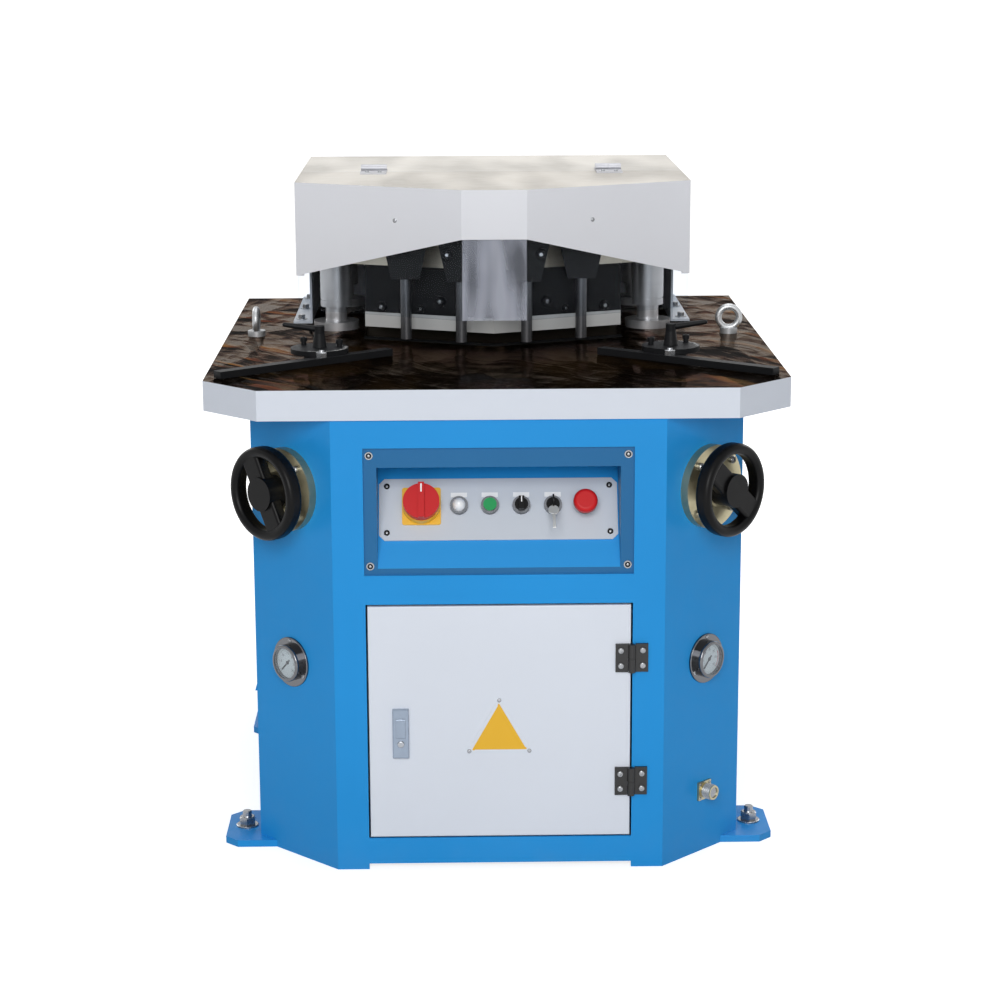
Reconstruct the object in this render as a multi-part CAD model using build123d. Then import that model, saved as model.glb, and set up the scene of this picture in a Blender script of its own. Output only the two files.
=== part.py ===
from build123d import *
import os
from math import cos, radians, sin, tan

# Angle notching machine. Millimetres, +Z up, front towards -Y.
# The origin is on the floor, under the middle of the whole machine.
os.makedirs("parts", exist_ok=True)

# General values
overrun = 5.0
running_clearance = 0.05
loose_clearance = 0.3

# Table
table_front = -509.3
table_width = 970.0
table_depth = 1040.0
table_thickness = 50.0
table_chamfer = 95.0
cabinet_height = 770.0

# Cabinet
cabinet_setback = 5.0
cabinet_depth = 975.0
face_width = 546.0
face_chamfer = 140.0
sheet = 5.0
base_relief_side = 53.0
base_relief_height = 10.0
floor_sheet = 6.0
floor_height = 20.0

# Rear access cover
cover_width = 420.0
cover_height = 360.0
cover_bottom = 180.0
cover_lap = 25.0
cover_sheet = 2.0
louvre_count = 8
louvre_pitch = 28.0
louvre_width = 240.0
louvre_height = 7.0

# Feet
foot_reach = 60.0
foot_length = 150.0
foot_thickness = 12.0
foot_corner = 22.0
foot_setback = 110.0
anchor_radius = 9.0
anchor_inset = 27.0

# Vent cowl on the left side
cowl_length = 170.0
cowl_height = 46.0
cowl_reach = 14.0
cowl_bottom = 235.0
cowl_setback = 260.0

# Lifting eyes
eye_ring_radius = 19.0
eye_wire_radius = 6.0
eye_collar_radius = 16.0
eye_collar_height = 10.0
eye_from_side = 53.0
eye_depth = 562.0

# Door and its box
door_side = 56.0
door_height = 400.0
door_bottom = 58.0
door_gap = 3.0
door_thickness = 18.0
door_skin = 2.0
door_proud = 2.0
door_fillet = 2.0
box_margin = 12.0
box_depth = 210.0
box_sheet = 2.0
mounting_sheet = 3.0
mounting_post_height = 8.0
mounting_post_radius = 6.0
mounting_margin = 25.0
device_width = 45.0
device_height = 80.0
device_depth = 70.0
device_step = 22.0
device_pitch = 62.0
device_count = 5
device_row_spacing = 150.0

# Door hinges
hinge_height = 48.0
hinge_leaf_reach = 27.0
hinge_leaf_thickness = 5.0
hinge_barrel_radius = 6.0
hinge_pin_radius = 3.0
hinge_slit = 0.4
hinge_low = 130.0
hinge_high = 344.0

# Door latch
latch_width = 27.0
latch_height = 84.0
latch_thickness = 9.0
latch_bottom = 199.0
latch_inset = 39.0
latch_wall = 3.0
latch_head = 15.0
latch_side = 5.5
latch_chamfer = 1.5
paddle_height = 31.0
paddle_thickness = 5.0
paddle_pin_radius = 1.5
latch_button_radius = 6.0
latch_button_depth = 5.5
latch_button_drop = 10.0
latch_button_fillet = 2.0

# Console
console_side = 55.0
console_height = 207.0
console_bottom = 513.0
console_sheet = 2.0
recess_side = 19.0
recess_bottom = 521.0
recess_top = 690.0
sill_depth = 22.0
sill_height = 36.0
panel_tilt = 30.0
console_fit = 3.0

# Control plate and controls
plate_side = 2.0
plate_height = 106.0
plate_thickness = 3.0
plate_corner = 9.0
plate_up = 58.0
control_hole_radius = 11.5
bezel_radius = 14.75
bezel_height = 10.0
button_radius = 11.0
button_rise = 13.0
button_tail = 14.0
mushroom_radius = 20.0
mushroom_rise = 34.0
mushroom_cap_height = 13.0
selector_bar_width = 9.0
selector_bar_height = 10.0
key_bow_radius = 11.0
key_thickness = 2.4
key_reach = 16.0
switch_plate_size = 64.0
switch_plate_thickness = 3.0
switch_corner = 4.0
switch_stem_radius = 8.0
knob_radius = 30.0
switch_collar_radius = 31.0
switch_collar_height = 17.0
knob_height = 14.0
knob_bar_width = 10.0
knob_bar_height = 8.0
control_rise = 5.0
switch_place_share = -0.3223
lamp_place_share = -0.165
start_place_share = -0.0355
selector_place_share = 0.0964
key_place_share = 0.2284
stop_place_share = 0.3629

# Chamfer face fittings
face_place = 106.0
wheel_height = 641.0
gauge_height = 343.0
socket_height = 109.0
wheel_flange_radius = 70.0
wheel_flange_thickness = 15.0
wheel_boss_radius = 32.0
wheel_boss_height = 12.0
spindle_radius = 10.0
spindle_tail = 70.0
rim_radius = 78.0
rim_width = 18.0
rim_depth = 28.0
rim_fillet = 8.5
rim_offset = 34.0
hub_radius = 28.0
hub_length = 36.0
spoke_width = 40.0
spoke_thickness = 22.0
spoke_fillet = 6.0
left_spoke_turn = 28.0
right_spoke_turn = 50.0
adjuster_radius = 38.0
adjuster_length = 85.0
gauge_flange_radius = 42.5
gauge_flange_thickness = 4.0
gauge_flange_fillet = 1.5
gauge_bezel_radius = 31.5
gauge_bezel_height = 17.0
gauge_bezel_fillet = 3.0
gauge_dial_radius = 26.5
gauge_dial_height = 9.0
gauge_glass_recess = 1.5
gauge_glass_thickness = 2.0
gauge_body_radius = 30.0
gauge_body_depth = 38.0
needle_length = 20.0
needle_tail = 7.0
needle_width = 2.4
needle_thickness = 1.0
needle_hub_radius = 3.2
needle_rest = 135.0
socket_flange = 32.0
socket_flange_thickness = 4.0
socket_radius = 12.5
socket_length = 24.0
socket_bore_radius = 9.5
socket_bore_depth = 18.0

# Hood
hood_width = 708.0
hood_top = 1104.0
hood_sheet = 2.5
hood_front_depth = 356.0
hood_end_depth = 509.0
hood_seam_depth = 707.0
hood_seam_gap = 2.0
hood_back_depth = 1036.0
hood_nose_width = 114.0
hood_nose_bottom = 1018.0
hood_end_bottom = 937.0
guard_bottom = 876.0
guard_top = 1060.0
guard_thickness = 4.0
support_gap = 12.0
support_sheet = 4.0
support_front_depth = 705.0
support_foot = 32.0
lid_hinge_width = 48.0
lid_hinge_leaf = 34.0
lid_hinge_front_leaf = 54.0
lid_hinge_thickness = 3.0
lid_hinge_radius = 6.5
lid_hinge_pin_radius = 2.5
lid_hinge_place = 218.0

# Tooling
vertex_depth = 455.0
blade_angle = 22.5
blade_run = 235.0
lower_blade_width = 30.0
upper_blade_width = 14.0
upper_blade_bottom = 838.0
carrier_bottom = 865.0
carrier_width = 45.0
blade_clearance = 0.3
blade_end_gap = 2.0
die_opening_depth = 690.0
die_bed_thickness = 40.0
die_bed_margin = 40.0

# Ram and its guides
ram_bottom = 951.0
ram_thickness = 70.0
ram_half_width = 330.0
ram_shoulder_depth = 600.0
ram_back_depth = 1000.0
column_radius = 20.0
column_place = 290.0
column_front_depth = 650.0
column_back_depth = 950.0
column_foot_radius = 42.0
column_foot_height = 15.0
column_top = 1085.0
bush_radius = 29.0
bush_bottom = 862.0
bush_groove_width = 2.0
bush_groove_depth = 1.5
bush_groove_rise = 12.0

# Hold-downs
rod_radius = 10.0
rod_gap = 6.0
rod_depth_in_housing = 40.0
housing_bottom = 936.0
housing_top_width = 88.0
housing_bottom_width = 50.0
housing_front = 26.0
inner_rod_place = 58.0
outer_rod_place = 157.0
rod_standoff = 38.0

# Cylinder and power unit
cylinder_from_back = 150.0
cylinder_neck_radius = 48.0
rod_shaft_radius = 35.0
cylinder_radius = 80.0
cylinder_bore_radius = 60.0
cylinder_length = 330.0
cylinder_wall_end = 25.0
piston_height = 40.0
piston_drop = 110.0
ram_stroke = 25.0
tank_width = 420.0
tank_depth = 300.0
tank_height = 240.0
tank_from_back = 65.0
tank_fillet = 15.0
motor_radius = 75.0
motor_length = 240.0
pump_radius = 45.0
pump_length = 90.0
motor_foot_width = 110.0

# Fences
fence_angle = 38.5
fence_length = 356.0
fence_width = 20.0
fence_height = 12.0
fence_from_side = 182.0
fence_stud_depth = 300.0
fence_bar_offset = 44.0
fence_shift = -61.0
fence_base_radius = 28.0
fence_base_height = 12.0
fence_disc_radius = 50.0
fence_disc_front = 47.0
fence_disc_height = 9.0
stud_radius = 6.0
stud_height = 30.0
lever_foot_radius = 12.5
lever_hub_radius = 9.0
lever_hub_height = 24.0
lever_neck_height = 13.0
lever_arm = 60.0
lever_arm_radius = 6.0
lever_tip_radius = 4.0
lever_rise = 8.0

# Worked out from the values above
table_top = cabinet_height + table_thickness
cabinet_front = table_front + cabinet_setback
cabinet_back = cabinet_front + cabinet_depth
cabinet_half = face_width / 2 + face_chamfer
blade_slope = tan(radians(blade_angle))
door_width = face_width - 2 * door_side
console_width = face_width - 2 * console_side
recess_width = console_width - 2 * recess_side
plate_width = recess_width - 2 * plate_side
console_face = cabinet_front + sheet
switch_place = switch_place_share * plate_width
lamp_place = lamp_place_share * plate_width
start_place = start_place_share * plate_width
selector_place = selector_place_share * plate_width
key_place = key_place_share * plate_width
stop_place = stop_place_share * plate_width
cylinder_y = cabinet_back - cylinder_from_back
tank_y = cabinet_back - sheet - tank_from_back - tank_depth / 2
fence_stud_place = table_width / 2 - fence_from_side


def depth(distance):
    """Y of a place that lies this far behind the table's front edge."""
    return table_front + distance


def prism(points, bottom, top):
    """Upright solid over an outline in plan."""
    outline = make_face(Polyline(*points, close=True))
    return Pos(0, 0, bottom) * extrude(outline, top - bottom, dir=(0, 0, 1))


def side_prism(points, left, right):
    """Solid along X over an outline in Y and Z."""
    outline = Plane.YZ * make_face(Polyline(*points, close=True))
    return Pos(left, 0, 0) * extrude(outline, right - left, dir=(1, 0, 0))


def front_prism(points, front, back):
    """Solid along Y over an outline in X and Z."""
    outline = Plane((0, 0, 0), (1, 0, 0), (0, -1, 0)) * make_face(Polyline(*points, close=True))
    return Pos(0, front, 0) * extrude(outline, back - front, dir=(0, 1, 0))


def block(x_range, y_range, z_range):
    """Box between two corners."""
    size = [high - low for low, high in (x_range, y_range, z_range)]
    middle = [(high + low) / 2 for low, high in (x_range, y_range, z_range)]
    return Pos(*middle) * Box(*size)


def disc(radius, low, high):
    """Cylinder on the Z axis between two heights."""
    return Pos(0, 0, (low + high) / 2) * Cylinder(radius, high - low)


def offset_line(points, distance):
    """The open outline moved to its left, with mitred corners."""
    moved = []
    for place, point in enumerate(points):
        before = points[max(place - 1, 0)]
        after = points[min(place + 1, len(points) - 1)]
        first = (Vector(*point) - Vector(*before)) if place else (Vector(*after) - Vector(*point))
        second = (Vector(*after) - Vector(*point)) if after != point else first
        first_normal = Vector(-first.Y, first.X).normalized()
        second_normal = Vector(-second.Y, second.X).normalized()
        mitre = (first_normal + second_normal).normalized()
        reach = distance / mitre.dot(first_normal)
        moved.append((point[0] + mitre.X * reach, point[1] + mitre.Y * reach))
    return moved


def folded_sheet(points, thickness, bottom, top):
    """Upright sheet folded along an open outline, with its thickness to the left of the outline."""
    inside = offset_line(points, thickness)
    return prism([*points, *reversed(inside)], bottom, top)


def both_sides(solid):
    """A piece and its mirror image across the middle of the machine."""
    return [solid, mirror(solid, Plane.YZ)]


def save(name, *solids):
    """Write one named piece, or one named set of like pieces."""
    shape = solids[0] if len(solids) == 1 else Compound(children=list(solids))
    export_step(shape, f"parts/{name}.step")


def face_plane(side, height):
    """Plane on a chamfered cabinet face: side -1 is left and 1 is right, Z points out of the face."""
    reach = face_place * cos(radians(45))
    origin = (side * (face_width / 2 + reach), cabinet_front + reach, height)
    return Plane(origin, x_dir=(1, side, 0), z_dir=(side, -1, 0))


def panel_plane():
    """Plane of the console's sloping wall at the middle of the control plate, Z out of the wall."""
    rise = plate_up * cos(radians(panel_tilt))
    back = plate_up * sin(radians(panel_tilt))
    origin = (0, console_face + sill_depth + back, recess_bottom + sill_height + rise)
    normal = (0, -cos(radians(panel_tilt)), sin(radians(panel_tilt)))
    return Plane(origin, x_dir=(1, 0, 0), z_dir=normal)


def control_at(place):
    """Place of one control on the console's sloping wall."""
    return panel_plane() * Pos(place, control_rise, 0)


control_places = [lamp_place, start_place, selector_place, key_place, stop_place]


def build_cabinet():
    """Folded and welded sheets, the floor, the rear cover, the feet and the vent cowl."""
    half_face = face_width / 2
    shoulder = cabinet_front + face_chamfer
    outline = [
        (-cabinet_half, cabinet_back),
        (-cabinet_half, shoulder),
        (-half_face, cabinet_front),
        (half_face, cabinet_front),
        (cabinet_half, shoulder),
        (cabinet_half, cabinet_back),
    ]
    inside = offset_line(outline, sheet)
    front_outline = [outline[2], outline[3], inside[3], inside[2]]
    front = prism(front_outline, 0, cabinet_height)
    cut_range = (cabinet_front - overrun, cabinet_front + sheet + overrun)
    door_half = door_width / 2 + door_gap
    door_top = door_bottom + door_height + door_gap
    front -= block((-door_half, door_half), cut_range, (door_bottom - door_gap, door_top))
    console_half = console_width / 2 + console_fit
    console_top = console_bottom + console_height + console_fit
    front -= block((-console_half, console_half), cut_range, (console_bottom - console_fit, console_top))
    relief_half = half_face - base_relief_side
    front -= block((-relief_half, relief_half), cut_range, (-overrun, base_relief_height))
    save("front_sheet", front)

    cowl_front = cabinet_front + cowl_setback
    cowl = [
        (-cabinet_half, cowl_bottom),
        (-cabinet_half, cowl_bottom + cowl_height),
        (-cabinet_half - cowl_reach, cowl_bottom),
    ]
    for side, name in ((-1, "left_side_sheet"), (1, "right_side_sheet")):
        corners = (0, 1, 2) if side < 0 else (5, 4, 3)
        points = [outline[corner] for corner in corners]
        points += [inside[corner] for corner in reversed(corners)]
        wall = prism(points, 0, cabinet_height)
        through = sheet + overrun
        wall -= face_plane(side, wheel_height) * disc(adjuster_radius + loose_clearance, -through, overrun)
        wall -= face_plane(side, gauge_height) * disc(gauge_body_radius + loose_clearance, -through, overrun)
        if side < 0:
            wall += front_prism(cowl, cowl_front, cowl_front + cowl_length)
        save(name, wall)

    inner_half = cabinet_half - sheet
    rear = block((-inner_half, inner_half), (cabinet_back - sheet, cabinet_back), (0, cabinet_height))
    opening_half = cover_width / 2 - cover_lap
    rear_range = (cabinet_back - sheet - overrun, cabinet_back + overrun)
    opening_z = (cover_bottom + cover_lap, cover_bottom + cover_height - cover_lap)
    rear -= block((-opening_half, opening_half), rear_range, opening_z)
    save("rear_sheet", rear)

    cover_half = cover_width / 2
    cover_y = (cabinet_back, cabinet_back + cover_sheet)
    cover = block((-cover_half, cover_half), cover_y, (cover_bottom, cover_bottom + cover_height))
    louvre_middle = cover_bottom + cover_height / 2
    for number in range(louvre_count):
        height = louvre_middle + (number - (louvre_count - 1) / 2) * louvre_pitch
        slot_z = (height - louvre_height / 2, height + louvre_height / 2)
        cover -= block((-louvre_width / 2, louvre_width / 2), rear_range, slot_z)
    save("rear_cover", cover)

    floor = [
        (-inner_half, cabinet_back - sheet),
        inside[1],
        inside[2],
        inside[3],
        inside[4],
        (inner_half, cabinet_back - sheet),
    ]
    save("floor_plate", prism(floor, floor_height, floor_height + floor_sheet))

    plates = []
    near = cabinet_front + foot_setback
    far = cabinet_back - foot_setback - foot_length
    toe = face_chamfer - foot_setback
    corner = [(cabinet_half - toe, near), (cabinet_half, near), (cabinet_half, near + toe)]
    gusset = prism(corner, 0, foot_thickness)
    for start in (near, far):
        outline_foot = [
            (cabinet_half, start),
            (cabinet_half + foot_reach - foot_corner, start),
            (cabinet_half + foot_reach, start + foot_corner),
            (cabinet_half + foot_reach, start + foot_length - foot_corner),
            (cabinet_half + foot_reach - foot_corner, start + foot_length),
            (cabinet_half, start + foot_length),
        ]
        plate = prism(outline_foot, 0, foot_thickness)
        if start == near:
            plate += gusset
        anchor = disc(anchor_radius, -overrun, foot_thickness + overrun)
        plate -= Pos(cabinet_half + anchor_inset, start + foot_length / 2, 0) * anchor
        plates += both_sides(plate)
    save("foot_plates", *plates)


def die_opening():
    """Outline in plan of the opening in the table that the lower blades sit in."""
    front = vertex_depth - lower_blade_width / cos(radians(blade_angle))
    return [
        (0, depth(front)),
        (blade_run, depth(front + blade_run * blade_slope)),
        (blade_run, depth(die_opening_depth)),
        (-blade_run, depth(die_opening_depth)),
        (-blade_run, depth(front + blade_run * blade_slope)),
    ]


def build_table():
    """Table plate, the bed that carries the lower blades, the lower blades and the lifting eyes."""
    half = table_width / 2
    back = depth(table_depth)
    outline = [
        (-half + table_chamfer, table_front),
        (half - table_chamfer, table_front),
        (half, table_front + table_chamfer),
        (half, back),
        (-half, back),
        (-half, table_front + table_chamfer),
    ]
    table = prism(outline, cabinet_height, table_top)
    table -= prism(die_opening(), cabinet_height - overrun, table_top + overrun)
    shaft_hole = disc(rod_shaft_radius + overrun, cabinet_height - overrun, table_top + overrun)
    table -= Pos(0, cylinder_y, 0) * shaft_hole
    save("table_plate", table)

    bed_half = blade_run + die_bed_margin
    bed_front = vertex_depth - lower_blade_width - die_bed_margin
    bed_y = (depth(bed_front), depth(die_opening_depth + die_bed_margin))
    bed_bottom = cabinet_height - die_bed_thickness
    bed = block((-bed_half, bed_half), bed_y, (bed_bottom, cabinet_height))
    hole_half = blade_run - die_bed_margin
    hole = [
        (0, depth(vertex_depth)),
        (hole_half, depth(vertex_depth + hole_half * blade_slope)),
        (hole_half, depth(die_opening_depth)),
        (-hole_half, depth(die_opening_depth)),
        (-hole_half, depth(vertex_depth + hole_half * blade_slope)),
    ]
    bed -= prism(hole, bed_bottom - overrun, cabinet_height + overrun)
    neck_hole = disc(cylinder_neck_radius + loose_clearance, bed_bottom - overrun, cabinet_height + overrun)
    bed -= Pos(0, cylinder_y, 0) * neck_hole
    save("die_bed", bed)

    opening = die_opening()
    blade = [
        (0, depth(vertex_depth)),
        opening[0],
        opening[1],
        (blade_run, depth(vertex_depth + blade_run * blade_slope)),
    ]
    right_blade = prism(blade, cabinet_height, table_top)
    save("lower_blades", *both_sides(right_blade))

    collar = disc(eye_collar_radius, 0, eye_collar_height)
    ring_height = eye_collar_height + eye_ring_radius
    ring = Pos(0, 0, ring_height) * Rot(90, 0, 0) * Torus(eye_ring_radius, eye_wire_radius)
    eye = collar + ring
    place = half - eye_from_side
    left_eye = Pos(-place, depth(eye_depth), table_top) * Rot(0, 0, 90) * eye
    right_eye = Pos(place, depth(eye_depth), table_top) * eye
    save("eyebolts", left_eye, right_eye)


def build_press():
    """Columns, ram, upper tooling, hold-downs, cylinder and power unit."""
    column = disc(column_radius, table_top, column_top)
    column += disc(column_foot_radius, table_top, table_top + column_foot_height)
    groove_bottom = bush_bottom + bush_groove_rise
    bush = disc(bush_radius, bush_bottom, ram_bottom)
    groove = disc(bush_radius + overrun, groove_bottom, groove_bottom + bush_groove_width)
    groove -= disc(bush_radius - bush_groove_depth, groove_bottom, groove_bottom + bush_groove_width)
    bush -= groove
    bore = disc(column_radius + running_clearance, bush_bottom - overrun, column_top)
    bush -= bore
    spots = []
    for column_depth in (column_front_depth, column_back_depth):
        for place in (-column_place, column_place):
            spots.append(Pos(place, depth(column_depth), 0))
    save("guide_columns", *[spot * column for spot in spots])
    save("guide_bushes", *[spot * bush for spot in spots])

    front = vertex_depth + blade_clearance
    edge = depth(front + blade_run * blade_slope)
    ram_outline = [
        (0, depth(front)),
        (blade_run, edge),
        (ram_half_width, depth(ram_shoulder_depth)),
        (ram_half_width, depth(ram_back_depth)),
        (-ram_half_width, depth(ram_back_depth)),
        (-ram_half_width, depth(ram_shoulder_depth)),
        (-blade_run, edge),
    ]
    ram_top = ram_bottom + ram_thickness
    ram = prism(ram_outline, ram_bottom, ram_top)
    for spot in spots:
        ram -= spot * bore
    save("ram", ram)

    def tool_bar(width, bottom, top):
        """Right-hand bar along the cutting line, its front face on that line."""
        back = width / cos(radians(blade_angle))
        run = blade_run - blade_end_gap
        end = depth(front + run * blade_slope)
        points = [
            (0, depth(front)),
            (run, end),
            (run, end + back),
            (0, depth(front) + back),
        ]
        return prism(points, bottom, top)

    right_carrier = tool_bar(carrier_width, carrier_bottom, ram_bottom)
    right_blade = tool_bar(upper_blade_width, upper_blade_bottom, carrier_bottom)
    save("upper_carriers", *both_sides(right_carrier))
    save("upper_blades", *both_sides(right_blade))

    housing_top = ram_top
    rod_top = housing_bottom + rod_depth_in_housing
    bore_top = rod_top + ram_stroke
    housings = []
    rods = []
    for place in (inner_rod_place, outer_rod_place):
        rod_y = depth(vertex_depth + place * blade_slope - rod_standoff)
        spot = Pos(place, rod_y, 0)
        rods += both_sides(spot * disc(rod_radius, table_top + rod_gap, rod_top))
        taper = [
            (place - housing_top_width / 2, housing_top),
            (place + housing_top_width / 2, housing_top),
            (place + housing_bottom_width / 2, housing_bottom),
            (place - housing_bottom_width / 2, housing_bottom),
        ]
        housing = front_prism(taper, rod_y - housing_front, depth(ram_shoulder_depth))
        housing -= prism(ram_outline, housing_bottom - overrun, housing_top + overrun)
        housing -= spot * disc(rod_radius + running_clearance, housing_bottom - overrun, bore_top)
        housings += both_sides(housing)
    save("rod_housings", *housings)
    save("hold_down_rods", *rods)

    at_cylinder = Pos(0, cylinder_y, 0)
    barrel_bottom = cabinet_height - cylinder_length
    barrel_top = cabinet_height - die_bed_thickness - loose_clearance
    barrel = disc(cylinder_radius, barrel_bottom, barrel_top)
    barrel += disc(cylinder_neck_radius, barrel_top, cabinet_height)
    chamber_bottom = barrel_bottom + cylinder_wall_end
    barrel -= disc(cylinder_bore_radius, chamber_bottom, barrel_top - cylinder_wall_end)
    barrel -= disc(rod_shaft_radius + running_clearance, chamber_bottom, cabinet_height + overrun)
    save("press_cylinder", at_cylinder * barrel)
    piston_top = cabinet_height - piston_drop
    shaft = disc(rod_shaft_radius, piston_top - piston_height, ram_bottom)
    shaft += disc(cylinder_bore_radius - running_clearance, piston_top - piston_height, piston_top)
    save("piston_rod", at_cylinder * shaft)

    tank_bottom = floor_height + floor_sheet
    tank_top = tank_bottom + tank_height
    tank_range = (tank_y - tank_depth / 2, tank_y + tank_depth / 2)
    tank = block((-tank_width / 2, tank_width / 2), tank_range, (tank_bottom, tank_top))
    tank = fillet(tank.edges().filter_by(Axis.Z), tank_fillet)
    save("oil_tank", tank)
    motor = Cylinder(motor_radius, motor_length)
    pump = Pos(0, 0, (motor_length + pump_length) / 2) * Cylinder(pump_radius, pump_length)
    motor_height = tank_top + motor_radius
    unit = Pos(-pump_length / 2, tank_y, motor_height) * Rot(0, 90, 0) * (motor + pump)
    foot_x = (-pump_length / 2 - motor_length / 4, -pump_length / 2 + motor_length / 4)
    foot_y = (tank_y - motor_foot_width / 2, tank_y + motor_foot_width / 2)
    unit += block(foot_x, foot_y, (tank_top, motor_height))
    save("pump_motor", unit)


def build_hood():
    """Hinged front lid with its clear guard, fixed rear hood, side supports and hinges."""
    half = hood_width / 2
    nose = hood_nose_width / 2
    seam = depth(hood_seam_depth)
    lid_line = [
        (-half, seam),
        (-half, depth(hood_end_depth)),
        (-nose, depth(hood_front_depth)),
        (nose, depth(hood_front_depth)),
        (half, depth(hood_end_depth)),
        (half, seam),
    ]
    lid = folded_sheet(lid_line, hood_sheet, hood_end_bottom, hood_top)
    lid += prism(lid_line, hood_top - hood_sheet, hood_top)
    slope_cut = [
        (-half, hood_end_bottom),
        (-nose, hood_nose_bottom),
        (nose, hood_nose_bottom),
        (half, hood_end_bottom),
        (half, hood_end_bottom - overrun),
        (-half, hood_end_bottom - overrun),
    ]
    lid -= front_prism(slope_cut, depth(hood_front_depth) - overrun, depth(hood_end_depth) - overrun)
    save("hood_lid", lid)

    guard_line = offset_line(lid_line, hood_sheet)[1:5]
    save("hood_guard", folded_sheet(guard_line, guard_thickness, guard_bottom, guard_top))

    back = depth(hood_back_depth)
    rear_line = [(half, seam + hood_seam_gap), (half, back), (-half, back), (-half, seam + hood_seam_gap)]
    rear = folded_sheet(rear_line, hood_sheet, hood_end_bottom, hood_top)
    rear += prism(rear_line, hood_top - hood_sheet, hood_top)
    rear += block((-half, half), (back - hood_sheet, back), (table_top, hood_end_bottom))
    save("hood_rear", rear)

    wall = half - support_gap
    support_y = (depth(support_front_depth), back - hood_sheet)
    upright = block((wall - support_sheet, wall), support_y, (table_top, hood_top - hood_sheet))
    front_face = (depth(support_front_depth) - overrun, seam + hood_seam_gap)
    cut_x = (wall - support_sheet - overrun, wall + overrun)
    upright -= block(cut_x, front_face, (hood_end_bottom, hood_top))
    foot = block((wall, wall + support_foot), support_y, (table_top, table_top + support_sheet))
    save("hood_supports", *both_sides(upright + foot))

    axis = (seam + hood_seam_gap / 2, hood_top + lid_hinge_radius + loose_clearance)
    barrel_gap = lid_hinge_radius + loose_clearance
    fixed_leaves = []
    moving_leaves = []
    for place in (-lid_hinge_place, lid_hinge_place):
        low = place - lid_hinge_width / 2
        high = place + lid_hinge_width / 2
        leaf_z = (hood_top, hood_top + lid_hinge_thickness)
        at_axis = Pos(0, *axis) * Rot(0, 90, 0)
        fixed = block((low, high), (axis[0] + barrel_gap, axis[0] + lid_hinge_leaf), leaf_z)
        fixed += block((low, place), (axis[0] + hood_seam_gap, axis[0] + lid_hinge_leaf), leaf_z)
        fixed += at_axis * disc(lid_hinge_radius, low, place)
        fixed += at_axis * disc(lid_hinge_pin_radius, low, high)
        moving = block((low, high), (axis[0] - lid_hinge_front_leaf, axis[0] - barrel_gap), leaf_z)
        moving_x = place + hinge_slit
        moving += block((moving_x, high), (axis[0] - lid_hinge_front_leaf, axis[0] - hood_seam_gap), leaf_z)
        moving += at_axis * disc(lid_hinge_radius, moving_x, high)
        moving -= at_axis * disc(lid_hinge_pin_radius + running_clearance, low, high)
        fixed_leaves.append(fixed)
        moving_leaves.append(moving)
    save("hood_hinge_fixed", *fixed_leaves)
    save("hood_hinge_moving", *moving_leaves)


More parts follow.
